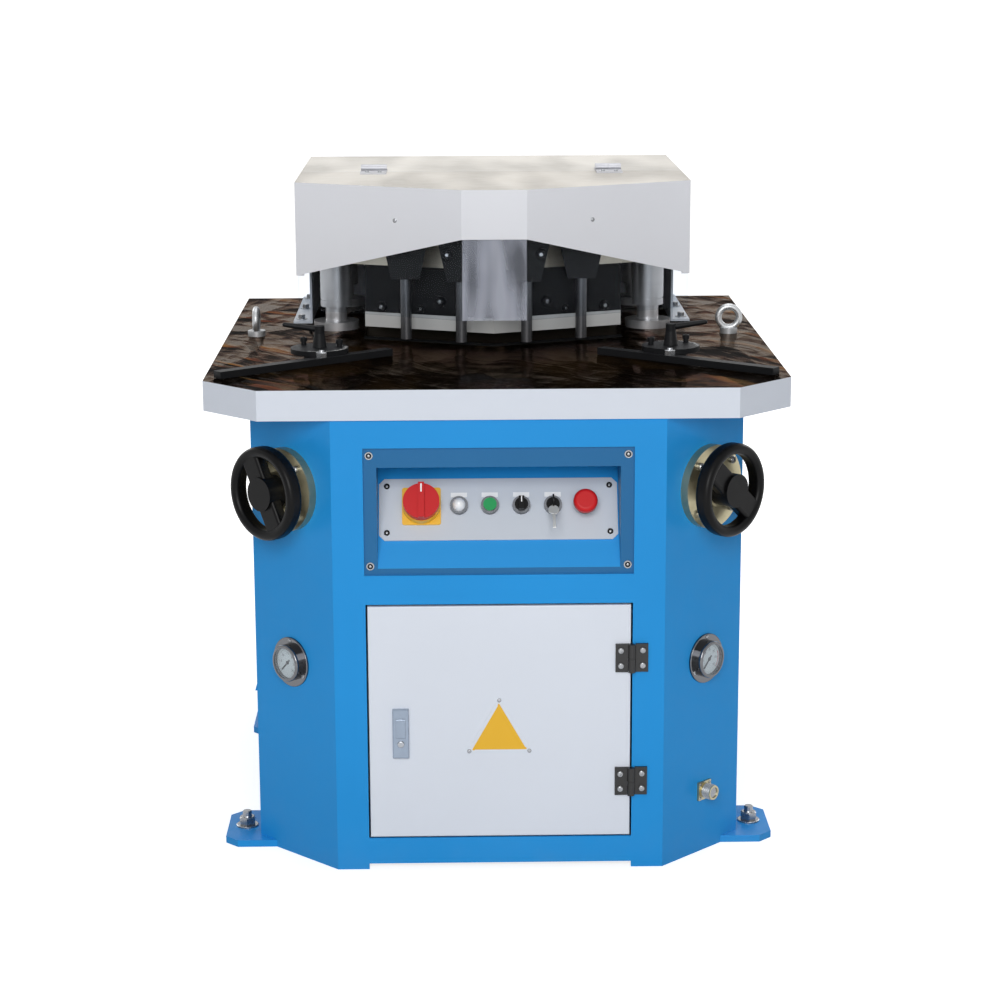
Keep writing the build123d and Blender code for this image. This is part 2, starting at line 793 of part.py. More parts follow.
def build_door():
    """Door, hinges, latch and the electrical box behind the door."""
    half = door_width / 2
    face = cabinet_front - door_proud
    top = door_bottom + door_height
    door = block((-half, half), (face, face + door_thickness), (door_bottom, top))
    door = fillet(door.faces().sort_by(Axis.Y)[0].edges(), door_fillet)
    inner_x = (-half + door_skin, half - door_skin)
    inner_y = (face + door_skin, face + door_thickness + overrun)
    door -= block(inner_x, inner_y, (door_bottom + door_skin, top - door_skin))
    save("door", door)

    axis_x = half + door_gap / 2
    axis_y = face - hinge_barrel_radius - loose_clearance
    gap = hinge_barrel_radius + loose_clearance
    fixed_leaves = []
    moving_leaves = []
    for low in (hinge_low, hinge_high):
        high = low + hinge_height
        middle = (low + high) / 2
        at_axis = Pos(axis_x, axis_y, 0)
        plate_y = (cabinet_front - hinge_leaf_thickness, cabinet_front)
        fixed = block((axis_x + gap, axis_x + hinge_leaf_reach), plate_y, (low, high))
        fixed += block((axis_x, axis_x + hinge_leaf_reach), plate_y, (low, middle))
        fixed += at_axis * disc(hinge_barrel_radius, low, middle)
        fixed += at_axis * disc(hinge_pin_radius, low, high)
        moving_y = (face - hinge_leaf_thickness, face)
        moving = block((axis_x - hinge_leaf_reach, axis_x - gap), moving_y, (low, high))
        moving += block((axis_x - hinge_leaf_reach, axis_x - door_gap), moving_y, (middle + hinge_slit, high))
        moving += at_axis * disc(hinge_barrel_radius, middle + hinge_slit, high)
        moving -= at_axis * disc(hinge_pin_radius + running_clearance, low, high + overrun)
        fixed_leaves.append(fixed)
        moving_leaves.append(moving)
    save("door_hinge_fixed", *fixed_leaves)
    save("door_hinge_moving", *moving_leaves)

    left = -half + latch_inset
    right = left + latch_width
    latch_top = latch_bottom + latch_height
    latch = block((left, right), (face - latch_thickness, face), (latch_bottom, latch_top))
    latch = chamfer(latch.faces().sort_by(Axis.Y)[0].edges(), latch_chamfer)
    latch_front = face - latch_thickness
    pin_z = latch_top - latch_head - loose_clearance - paddle_thickness / 2
    pin_y = latch_front + paddle_thickness / 2
    paddle_bottom = pin_z - paddle_height
    pocket_y = (latch_front - overrun, latch_front + paddle_thickness + loose_clearance)
    pocket_z = (paddle_bottom - loose_clearance, latch_top - latch_head)
    latch -= block((left + latch_side, right - latch_side), pocket_y, pocket_z)
    middle = (left + right) / 2
    pin_half = latch_width / 2 - latch_side / 2
    at_pin = Pos(middle, pin_y, pin_z) * Rot(0, 90, 0)
    latch -= at_pin * disc(paddle_pin_radius + running_clearance, -pin_half, pin_half)
    button_z = pocket_z[0] - latch_button_drop
    at_button = Pos(middle, latch_front, button_z) * Rot(90, 0, 0)
    button_bore = latch_thickness - latch_wall / 2
    latch -= at_button * disc(latch_button_radius + running_clearance, -button_bore, overrun)
    save("latch_body", latch)
    paddle_half = latch_width / 2 - latch_side - loose_clearance
    paddle_y = (latch_front, latch_front + paddle_thickness)
    paddle = block((middle - paddle_half, middle + paddle_half), paddle_y, (paddle_bottom, pin_z))
    paddle += at_pin * disc(paddle_thickness / 2, -paddle_half, paddle_half)
    paddle += at_pin * disc(paddle_pin_radius, -pin_half, pin_half)
    save("latch_paddle", paddle)
    cap = disc(latch_button_radius, latch_wall - latch_button_depth, latch_wall)
    cap = fillet(cap.edges().sort_by(Axis.Z)[-1], latch_button_fillet)
    save("latch_button", at_button * cap)

    box_half = half + door_gap + box_margin
    box_front = cabinet_front + sheet
    box_back = box_front + box_depth
    box_z = (door_bottom - door_gap - box_margin, top + door_gap + box_margin)
    box = block((-box_half, box_half), (box_front, box_back), box_z)
    room_z = (box_z[0] + box_sheet, box_z[1] - box_sheet)
    room_half = box_half - box_sheet
    box -= block((-room_half, room_half), (box_front - overrun, box_back - box_sheet), room_z)
    save("electrical_box", box)

    plate_half = half - mounting_margin
    plate_back = box_back - box_sheet - mounting_post_height
    plate_z = (door_bottom + mounting_margin, top - mounting_margin)
    plate_front = plate_back - mounting_sheet
    mounting = block((-plate_half, plate_half), (plate_front, plate_back), plate_z)
    for x in (-plate_half + mounting_margin, plate_half - mounting_margin):
        for z in (plate_z[0] + mounting_margin, plate_z[1] - mounting_margin):
            post = disc(mounting_post_radius, -mounting_post_height, 0)
            mounting += Pos(x, plate_back, z) * Rot(90, 0, 0) * post
    save("mounting_plate", mounting)

    devices = []
    centre = (plate_z[0] + plate_z[1]) / 2
    for row in (-1, 1):
        bottom = centre + row * device_row_spacing / 2 - device_height / 2
        top_z = bottom + device_height
        step_y = plate_front - device_depth + device_step
        profile = [
            (plate_front, bottom),
            (plate_front, top_z),
            (step_y, top_z),
            (step_y, top_z - device_step),
            (plate_front - device_depth, top_z - device_step),
            (plate_front - device_depth, bottom + device_step),
            (step_y, bottom + device_step),
            (step_y, bottom),
        ]
        for number in range(device_count):
            x = (number - (device_count - 1) / 2) * device_pitch
            devices.append(side_prism(profile, x - device_width / 2, x + device_width / 2))
    save("switchgear", *devices)


def build_console():
    """Console with its sloping wall, the control plate and the controls on it."""
    wall_foot = recess_bottom + sill_height
    wall_back = console_face + sill_depth + (recess_top - wall_foot) * tan(radians(panel_tilt))
    recess = [
        (console_face, recess_bottom),
        (console_face + sill_depth, wall_foot),
        (wall_back, recess_top),
        (console_face, recess_top),
    ]
    lip = console_width / 2 + box_margin
    lip_y = (console_face, console_face + console_sheet)
    lip_z = (console_bottom - box_margin, console_bottom + console_height + box_margin)
    console = block((-lip, lip), lip_y, lip_z)
    shell_half = recess_width / 2 + console_sheet
    console += side_prism(offset_line(recess, -console_sheet), -shell_half, shell_half)
    opening = [(console_face - overrun, recess_bottom), *recess, (console_face - overrun, recess_top)]
    console -= side_prism(opening, -recess_width / 2, recess_width / 2)

    wall = panel_plane()
    plate = Rectangle(plate_width, plate_height)
    plate = wall * extrude(chamfer(plate.vertices(), plate_corner), plate_thickness)
    for place in control_places:
        hole = disc(control_hole_radius, -console_sheet - overrun, plate_thickness + overrun)
        console -= control_at(place) * hole
        plate -= control_at(place) * hole
    stem_bore = switch_stem_radius + running_clearance
    stem_hole = disc(stem_bore, -console_sheet - overrun, plate_thickness + overrun)
    console -= control_at(switch_place) * stem_hole
    plate -= control_at(switch_place) * stem_hole
    save("console", console)
    save("control_plate", plate)

    base = plate_thickness
    bezel = disc(bezel_radius, base, base + bezel_height)
    bezel -= disc(button_radius + running_clearance, base - overrun, base + bezel_height + overrun)
    save("bezels", *[control_at(place) * bezel for place in control_places])

    stem = disc(button_radius, base - button_tail, base + button_rise)
    lens = disc(button_radius, base - button_tail, base + bezel_height)
    dome = Pos(0, 0, base + bezel_height) * scale(Sphere(button_radius), (1, 1, button_rise / button_radius))
    dome &= disc(button_radius, base + bezel_height, base + bezel_height + button_rise)
    save("pilot_lamp", control_at(lamp_place) * (lens + dome))
    save("start_button", control_at(start_place) * stem)

    bar_low = base + button_rise
    bar = block(
        (-selector_bar_width / 2, selector_bar_width / 2),
        (-button_radius, button_radius),
        (bar_low, bar_low + selector_bar_height),
    )
    save("selector", control_at(selector_place) * (stem + bar))

    bow_height = base + button_rise + key_reach
    bow = Pos(0, 0, bow_height) * Rot(0, 90, 0) * Cylinder(key_bow_radius, key_thickness)
    blade = block(
        (-key_thickness / 2, key_thickness / 2),
        (-key_bow_radius / 2, key_bow_radius / 2),
        (base + button_rise, bow_height),
    )
    save("key_switch", control_at(key_place) * (stem + blade + bow))

    cap_low = mushroom_rise - mushroom_cap_height
    cap = disc(mushroom_radius, base + cap_low, base + mushroom_rise)
    cap = fillet(cap.edges().sort_by(Axis.Z)[-1], mushroom_cap_height / 2)
    neck = disc(button_radius, base - button_tail, base + cap_low)
    save("stop_button", control_at(stop_place) * (neck + cap))

    legend = Rectangle(switch_plate_size, switch_plate_size)
    legend = extrude(fillet(legend.vertices(), switch_corner), switch_plate_thickness)
    collar_top = switch_plate_thickness + switch_collar_height
    legend += disc(switch_collar_radius, switch_plate_thickness, collar_top)
    legend -= disc(stem_bore, -overrun, collar_top + overrun)
    at_switch = control_at(switch_place) * Pos(0, 0, base)
    save("switch_plate", at_switch * legend)
    knob_low = collar_top + loose_clearance
    knob = disc(knob_radius, knob_low, knob_low + knob_height)
    knob += block(
        (-knob_bar_width / 2, knob_bar_width / 2),
        (-knob_radius, knob_radius),
        (knob_low + knob_height, knob_low + knob_height + knob_bar_height),
    )
    knob += disc(switch_stem_radius, -button_tail, knob_low)
    save("switch_knob", at_switch * knob)


def build_face_fittings():
    """Handwheels with their flanged adjusters, gauges and the pedal socket."""
    flanges = []
    cases = []
    glasses = []
    flange = disc(wheel_flange_radius, 0, wheel_flange_thickness)
    boss_top = wheel_flange_thickness + wheel_boss_height
    flange += disc(wheel_boss_radius, wheel_flange_thickness, boss_top)
    spindle_bore = spindle_radius + running_clearance
    flange += disc(adjuster_radius, -adjuster_length, 0)
    flange -= disc(spindle_bore, -spindle_tail - loose_clearance, boss_top + overrun)

    ring_radius = rim_radius - rim_width / 2
    ring_height = rim_offset + rim_depth / 2
    section = Plane.XZ * Pos(ring_radius, ring_height) * RectangleRounded(rim_width, rim_depth, rim_fillet)
    wheel = revolve(section, Axis.Z)
    hub_low = boss_top + loose_clearance
    hub_top = hub_low + hub_length
    wheel += disc(hub_radius, hub_low, hub_top)
    spoke = Box(spoke_width, 2 * ring_radius, spoke_thickness)
    wheel += Pos(0, 0, ring_height) * fillet(spoke.edges().filter_by(Axis.Y), spoke_fillet)
    wheel += disc(spindle_radius, -spindle_tail, hub_low)

    case = disc(gauge_flange_radius, 0, gauge_flange_thickness)
    case = fillet(case.edges().sort_by(Axis.Z)[-1], gauge_flange_fillet)
    bezel_ring = disc(gauge_bezel_radius, 0, gauge_bezel_height)
    case += fillet(bezel_ring.edges().sort_by(Axis.Z)[-1], gauge_bezel_fillet)
    case += disc(gauge_body_radius, -gauge_body_depth, 0)
    case -= disc(gauge_dial_radius, gauge_dial_height, gauge_bezel_height + overrun)
    glass_top = gauge_bezel_height - gauge_glass_recess
    glass = disc(gauge_dial_radius - running_clearance, glass_top - gauge_glass_thickness, glass_top)
    needle_low = gauge_dial_height + loose_clearance
    needle_z = (needle_low, needle_low + needle_thickness)
    needle = block((-needle_width / 2, needle_width / 2), (-needle_tail, needle_length), needle_z)
    needle += disc(needle_hub_radius, *needle_z)

    for side, name, turn in ((-1, "left", left_spoke_turn), (1, "right", right_spoke_turn)):
        at_wheel = face_plane(side, wheel_height)
        flanges.append(at_wheel * flange)
        save(f"{name}_handwheel", at_wheel * Rot(0, 0, turn) * wheel)
        at_gauge = face_plane(side, gauge_height)
        cases.append(at_gauge * case)
        glasses.append(at_gauge * glass)
        save(f"{name}_needle", at_gauge * Rot(0, 0, needle_rest) * needle)
    save("wheel_flanges", *flanges)
    save("gauge_cases", *cases)
    save("gauge_glasses", *glasses)

    at_socket = face_plane(1, socket_height)
    socket = extrude(Rectangle(socket_flange, socket_flange), socket_flange_thickness)
    socket += disc(socket_radius, 0, socket_length)
    socket -= disc(socket_bore_radius, socket_length - socket_bore_depth, socket_length + overrun)
    save("pedal_socket", at_socket * socket)


def build_fences():
    """Swinging fences on the table, each with its base, stud and clamp lever."""
    stud_spot = Pos(fence_stud_place, depth(fence_stud_depth), table_top)
    along = Rot(0, 0, 180 - fence_angle)
    base = disc(fence_base_radius, 0, fence_base_height)
    stud_top = fence_base_height + stud_height
    base += disc(stud_radius, 0, stud_top)

    bar_back = fence_bar_offset - fence_width / 2
    bar_x = (fence_shift - fence_length / 2, fence_shift + fence_length / 2)
    bar = block(bar_x, (bar_back, bar_back + fence_width), (loose_clearance, fence_height))
    disc_z = (fence_base_height + loose_clearance, fence_base_height + fence_disc_height)
    plate = disc(fence_disc_radius, *disc_z)
    plate -= block(
        (-fence_disc_radius - overrun, fence_disc_radius + overrun),
        (fence_disc_front, fence_disc_radius + overrun),
        (disc_z[0] - overrun, disc_z[1] + overrun),
    )
    spacer_x = (-fence_disc_front / 2, fence_disc_front / 2)
    plate += block(spacer_x, (bar_back, fence_disc_front), (fence_height - loose_clearance, disc_z[1]))
    fence = bar + plate - disc(stud_radius + running_clearance, -overrun, stud_top)

    hub_low = disc_z[1] + loose_clearance
    hub_top = hub_low + lever_hub_height
    lever = Pos(0, 0, (hub_low + hub_top) / 2) * Cone(lever_foot_radius, lever_hub_radius, lever_hub_height)
    neck_top = hub_top + lever_neck_height
    lever += disc(lever_hub_radius, hub_top, neck_top)
    arm_height = neck_top - lever_arm_radius
    arm = Pos(0, 0, lever_arm / 2) * Cone(lever_arm_radius, lever_tip_radius, lever_arm)
    arm += Pos(0, 0, lever_arm) * Sphere(lever_tip_radius)
    lever += Pos(0, 0, arm_height) * Rot(0, 90 - lever_rise, 0) * arm
    lever -= disc(stud_radius + running_clearance, hub_low - overrun, stud_top + loose_clearance)

    save("fence_bases", *both_sides(stud_spot * along * base))
    right_fence = stud_spot * along * fence
    right_lever = stud_spot * lever
    save("right_fence", right_fence)
    save("left_fence", mirror(right_fence, Plane.YZ))
    save("right_clamp_lever", right_lever)
    save("left_clamp_lever", mirror(right_lever, Plane.YZ))


build_cabinet()
build_table()
build_press()
build_hood()
build_door()
build_console()
build_face_fittings()
build_fences()
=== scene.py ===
"""Angle notching machine: finishes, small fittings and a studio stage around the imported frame."""

import math
from typing import NamedTuple

import bmesh
import bpy
from mathutils import Matrix, Vector


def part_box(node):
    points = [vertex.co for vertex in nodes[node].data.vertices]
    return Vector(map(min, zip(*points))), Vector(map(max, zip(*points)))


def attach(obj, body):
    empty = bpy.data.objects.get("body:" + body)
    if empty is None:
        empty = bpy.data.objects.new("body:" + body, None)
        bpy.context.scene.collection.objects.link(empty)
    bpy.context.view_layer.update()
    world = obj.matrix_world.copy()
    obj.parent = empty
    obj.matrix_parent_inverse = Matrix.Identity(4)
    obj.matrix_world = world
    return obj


bl_info = {
    "name": "Angle Notching Machine",
    "version": (1, 0, 0),
    "blender": (4, 5, 0),
    "location": "View3D > Sidebar > Notcher",
    "description": "Finishes, fittings and stage for an angle notching machine",
    "category": "Object",
}

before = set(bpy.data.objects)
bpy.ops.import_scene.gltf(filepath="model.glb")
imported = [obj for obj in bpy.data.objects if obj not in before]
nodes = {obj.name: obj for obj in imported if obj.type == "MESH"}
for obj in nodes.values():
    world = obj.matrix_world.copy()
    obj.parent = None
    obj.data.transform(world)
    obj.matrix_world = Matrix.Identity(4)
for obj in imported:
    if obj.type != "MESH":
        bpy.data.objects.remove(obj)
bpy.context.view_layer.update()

FACE_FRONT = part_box("front_sheet")[0].y
FACE_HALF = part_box("front_sheet")[1].x
TABLE_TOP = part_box("table_plate")[1].z
TABLE_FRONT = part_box("table_plate")[0].y
DOOR_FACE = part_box("door")[0].y
HOOD_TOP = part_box("hood_lid")[1].z
FOOT_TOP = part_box("foot_plates")[1].z
PLATE_LOW, PLATE_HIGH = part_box("control_plate")
PANEL_TILT = math.radians(30)
CHAMFER_PLACE = 0.106
CONTROL_RISE = 0.005
PLATE_RISE = 0.0015
BLACK = ("oiled_black_steel", "black_oxide")
SWITCH_PLACE = sum(corner.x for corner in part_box("switch_plate")) / 2
LAMP_PLACE = sum(corner.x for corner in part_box("pilot_lamp")) / 2
START_PLACE = sum(corner.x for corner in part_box("start_button")) / 2
SELECTOR_PLACE = sum(corner.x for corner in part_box("selector")) / 2
KEY_PLACE = sum(corner.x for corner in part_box("key_switch")) / 2
WHEEL_HEIGHT = sum(corner.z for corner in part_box("wheel_flanges")) / 2
GAUGE_HEIGHT = sum(corner.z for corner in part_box("gauge_cases")) / 2
SOCKET_HEIGHT = sum(corner.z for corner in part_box("pedal_socket")) / 2
DIAL_SWEEP = 270
DIAL_START = 135
ROUND_STEPS = 32
TINY = 0.0002


def linear(colour):
    """Linear colour of 8-bit screen values."""
    shares = [value / 255 for value in colour]
    return tuple(s / 12.92 if s <= 0.04045 else ((s + 0.055) / 1.055) ** 2.4 for s in shares)


def colour_property(name, description, colour):
    """A colour property with its default given in 8-bit screen values."""
    return bpy.props.FloatVectorProperty(
        name=name, description=description, subtype="COLOR", size=3, min=0, max=1, default=linear(colour)
    )


def number_property(name, description, default, **more):
    """A plain number property."""
    return bpy.props.FloatProperty(name=name, description=description, default=default, **more)


def length_property(name, description, millimetres):
    """A length property with its default given in millimetres."""
    return number_property(name, description, millimetres / 1000, unit="LENGTH", min=0)


class NotcherFinishes(bpy.types.PropertyGroup):
    """Colours of the machine's finishes."""

    cabinet: colour_property("Cabinet paint", "Paint of the cabinet and console", (36, 145, 216))
    # Its colour is a darker copy of the cabinet blue, painted shade on the console's upright faces.
    console: colour_property("Console paint", "Paint of the console's flat faces", (38, 104, 154))
    white: colour_property("White paint", "Paint of the door and table edge", (214, 220, 230))
    hood: colour_property("Hood paint", "Paint of the hood's upright faces", (229, 231, 237))
    film: colour_property("Table film", "Dark side of the film on the table", (30, 22, 14))
    # Painted highlight: the lighter colour on the film's creases.
    painted_film_highlight: colour_property("Film sheen", "Bright side of the film on the table", (118, 90, 56))
    oxide: colour_property("Black oxide", "Blackened steel of the tools and fences", (20, 21, 23))
    ground: colour_property("Ground steel", "Bare ground steel of the ram and blades", (196, 188, 172))
    plated: colour_property("Zinc plating", "Yellowish plating of the handwheel flanges", (176, 168, 138))
    plate: colour_property("Faceplate", "Control plate, supports and inner box", (186, 193, 203))
    black: colour_property("Black plastic", "Handwheels, hinges and needles", (8, 8, 9))
    red: colour_property("Red plastic", "Stop button and main switch", (196, 30, 34))
    green: colour_property("Green plastic", "Start button", (34, 150, 84))
    yellow: colour_property("Yellow plate", "Switch plate and triangular plate", (228, 176, 30))


class NotcherFittings(bpy.types.PropertyGroup):
    """Sizes of the small fittings."""

    screw: length_property("Panel screw", "Head radius of the panel screws", 4.2)
    cap_screw: length_property("Cap screw", "Head radius of the tool cap screws", 9.5)
    bolt: length_property("Floor bolt", "Half the width across flats of the floor nuts", 13.0)
    triangle_half: length_property("Triangle half width", "Half the width of the triangular plate", 50.0)
    triangle_height: length_property("Triangle height", "Height of the triangular plate", 88.0)
    triangle_bottom: length_property("Triangle bottom", "Height of the plate's base edge", 208.0)


class NotcherStage(bpy.types.PropertyGroup):
    """Camera, floor and light."""

    eye: bpy.props.FloatVectorProperty(
        name="Camera place", description="Where the camera stands", subtype="XYZ", unit="LENGTH", size=3,
        default=(-0.0672, -4.3894, 1.5285),
    )
    yaw: number_property("Yaw", "Turn to the right", math.radians(1.0169), subtype="ANGLE")
    pitch: number_property("Pitch", "Tilt down", math.radians(12.9348), subtype="ANGLE")
    roll: number_property("Roll", "Turn about the view", math.radians(-0.2228), subtype="ANGLE")
    lens: number_property("Lens", "Focal length", 88.2, subtype="DISTANCE_CAMERA")
    sky: number_property("Sky light", "Level of the even light", 0.34)
    key: number_property("Key light", "Power of the main lamp", 232, unit="POWER")
    floor: colour_property("Floor", "Colour of the floor", (206, 206, 207))
    glow: number_property("Floor glow", "Lift to white beside the machine", 0.7)
    far_glow: number_property("Far glow", "Lift to white far from the machine", 1.0)


def finishes():
    """The finish properties of this scene."""
    return bpy.context.scene.notcher_finishes


def fittings():
    """The fitting properties of this scene."""
    return bpy.context.scene.notcher_fittings


def add_node(tree, kind, inputs=None, **settings):
    """One shader node, its settings, and its inputs as values or as sockets to link from."""
    node = tree.nodes.new(kind)
    for key, value in settings.items():
        setattr(node, key, value)
    for key, value in (inputs or {}).items():
        if isinstance(value, bpy.types.NodeSocket):
            tree.links.new(value, node.inputs[key])
        else:
            node.inputs[key].default_value = value
    return node


def math_node(tree, operation, first, second=0.0, clamp=False):
    """Output of one math node."""
    node = add_node(tree, "ShaderNodeMath", {0: first, 1: second}, operation=operation, use_clamp=clamp)
    return node.outputs[0]


def mix_colour(tree, share, first, second):
    """Colour that goes from first to second by a share."""
    node = add_node(tree, "ShaderNodeMix", {"Factor": share}, data_type="RGBA")
    for index, value in ((6, first), (7, second)):
        if isinstance(value, bpy.types.NodeSocket):
            tree.links.new(value, node.inputs[index])
        else:
            node.inputs[index].default_value = (*value, 1)
    return node.outputs[2]


def coordinates(tree, kind="Object"):
    """One kind of texture coordinates."""
    return add_node(tree, "ShaderNodeTexCoord").outputs[kind]


def noise(tree, place, scale, detail, **more):
    """Value output of one noise texture."""
    inputs = {"Vector": place, "Scale": scale, "Detail": detail, **more}
    return add_node(tree, "ShaderNodeTexNoise", inputs).outputs["Fac"]


def axis_value(tree, vector, axis):
    """One part of a vector."""
    return add_node(tree, "ShaderNodeSeparateXYZ", {0: vector}).outputs[axis]


def drawn_out(tree, vector, shares):
    """A vector with each part multiplied by its share."""
    return add_node(tree, "ShaderNodeVectorMath", {0: vector, 1: shares}, operation="MULTIPLY").outputs[0]


def remap(tree, value, low, high, new_low, new_high):
    """Value moved from one range to another."""
    inputs = {"Value": value, "From Min": low, "From Max": high, "To Min": new_low, "To Max": new_high}
    return add_node(tree, "ShaderNodeMapRange", inputs).outputs["Result"]


def new_group(name, inputs, outputs):
    """An empty shader node group with named sockets."""
    tree = bpy.data.node_groups.new(name, "ShaderNodeTree")
    kinds = {"colour": "NodeSocketColor", "value": "NodeSocketFloat", "vector": "NodeSocketVector"}
    for direction, sockets in (("INPUT", inputs), ("OUTPUT", outputs)):
        for socket, kind in sockets.items():
            tree.interface.new_socket(name=socket, in_out=direction, socket_type=kinds[kind])
    return tree, tree.nodes.new("NodeGroupInput").outputs, tree.nodes.new("NodeGroupOutput").inputs


def surface_group():
    """Shared group: uneven colour, uneven gloss and a fine relief, stretched along any axis."""
    if "surface_variation" in bpy.data.node_groups:
        return bpy.data.node_groups["surface_variation"]
    tree, given, result = new_group(
        "surface_variation",
        {"Colour": "colour", "Scale": "value", "Stretch": "vector", "Mottle": "value", "Roughness": "value",
         "Spread": "value"},
        {"Colour": "colour", "Roughness": "value", "Height": "value"},
    )
    place = coordinates(tree)
    stretched = drawn_out(tree, place, given["Stretch"])
    coarse = noise(tree, stretched, given["Scale"], 4.0)
    fine = noise(tree, stretched, math_node(tree, "MULTIPLY", given["Scale"], 14.0), 3.0)
    centred = remap(tree, coarse, 0.3, 0.7, -1.0, 1.0)
    level = math_node(tree, "MULTIPLY_ADD", centred, given["Mottle"])
    level.node.inputs[2].default_value = 1.0
    colour = add_node(tree, "ShaderNodeVectorMath", {0: given["Colour"], "Scale": level}, operation="SCALE")
    tree.links.new(colour.outputs[0], result["Colour"])
    fine_centred = remap(tree, fine, 0.3, 0.7, -1.0, 1.0)
    gloss = math_node(tree, "MULTIPLY_ADD", fine_centred, given["Spread"], clamp=True)
    tree.links.new(given["Roughness"], gloss.node.inputs[2])
    tree.links.new(gloss, result["Roughness"])
    tree.links.new(fine, result["Height"])
    return tree


def dust_group():
    """Shared group: settled dust on upward faces and scuffed dirt close to the floor."""
    if "settled_dust" in bpy.data.node_groups:
        return bpy.data.node_groups["settled_dust"]
    tree, given, result = new_group(
        "settled_dust",
        {"Colour": "colour", "Dust": "colour", "Amount": "value"},
        {"Colour": "colour"},
    )
    place = coordinates(tree)
    normal = add_node(tree, "ShaderNodeNewGeometry").outputs["Normal"]
    up = axis_value(tree, normal, "Z")
    height = axis_value(tree, place, "Z")
    cover = remap(tree, noise(tree, place, 9.0, 6.0), 0.4, 0.75, 0.0, 1.0)
    lying = remap(tree, up, 0.5, 0.95, 0.0, 1.0)
    low = remap(tree, height, 0.0, 0.09, 0.7, 0.0)
    where = math_node(tree, "MAXIMUM", lying, low)
    mask = math_node(tree, "MULTIPLY", where, cover)
    share = math_node(tree, "MULTIPLY", mask, given["Amount"], clamp=True)
    tree.links.new(mix_colour(tree, share, given["Colour"], given["Dust"]), result["Colour"])
    return tree


def upward_group():
    """Shared group: mask of the faces that look up, between two levels of the normal's height."""
    if "upward_faces" in bpy.data.node_groups:
        return bpy.data.node_groups["upward_faces"]
    tree, given, result = new_group("upward_faces", {"Low": "value", "High": "value"}, {"Mask": "value"})
    normal = coordinates(tree, "Normal")
    up = axis_value(tree, normal, "Z")
    tree.links.new(remap(tree, up, given["Low"], given["High"], 0.0, 1.0), result["Mask"])
    return tree


def upward_mask(tree, low, high):
    """Output of the shared upward mask in one material."""
    group = add_node(tree, "ShaderNodeGroup", {"Low": low, "High": high}, node_tree=upward_group())
    return group.outputs["Mask"]


def start_material(name):
    """A new node material, its tree and its Principled shader."""
    material = bpy.data.materials.new(name)
    material.use_nodes = True
    return material, material.node_tree, material.node_tree.nodes["Principled BSDF"]


COAT_ROUGHNESS = 0.12
RELIEF_DEPTH = 0.001
DUST_COLOUR = (170, 162, 148)


class Finish(NamedTuple):
    """Look of a solid surface; its colour is a finish property's name or 8-bit screen values."""

    colour: object
    rough: float = 0.4
    spread: float = 0.05
    metallic: float = 0.0
    scale: float = 3.0
    stretch: tuple = (1, 1, 1)
    mottle: float = 0.04
    relief: float = 0.02
    coat: float = 0.0
    dust: float = 0.0
    specular: float = 0.5


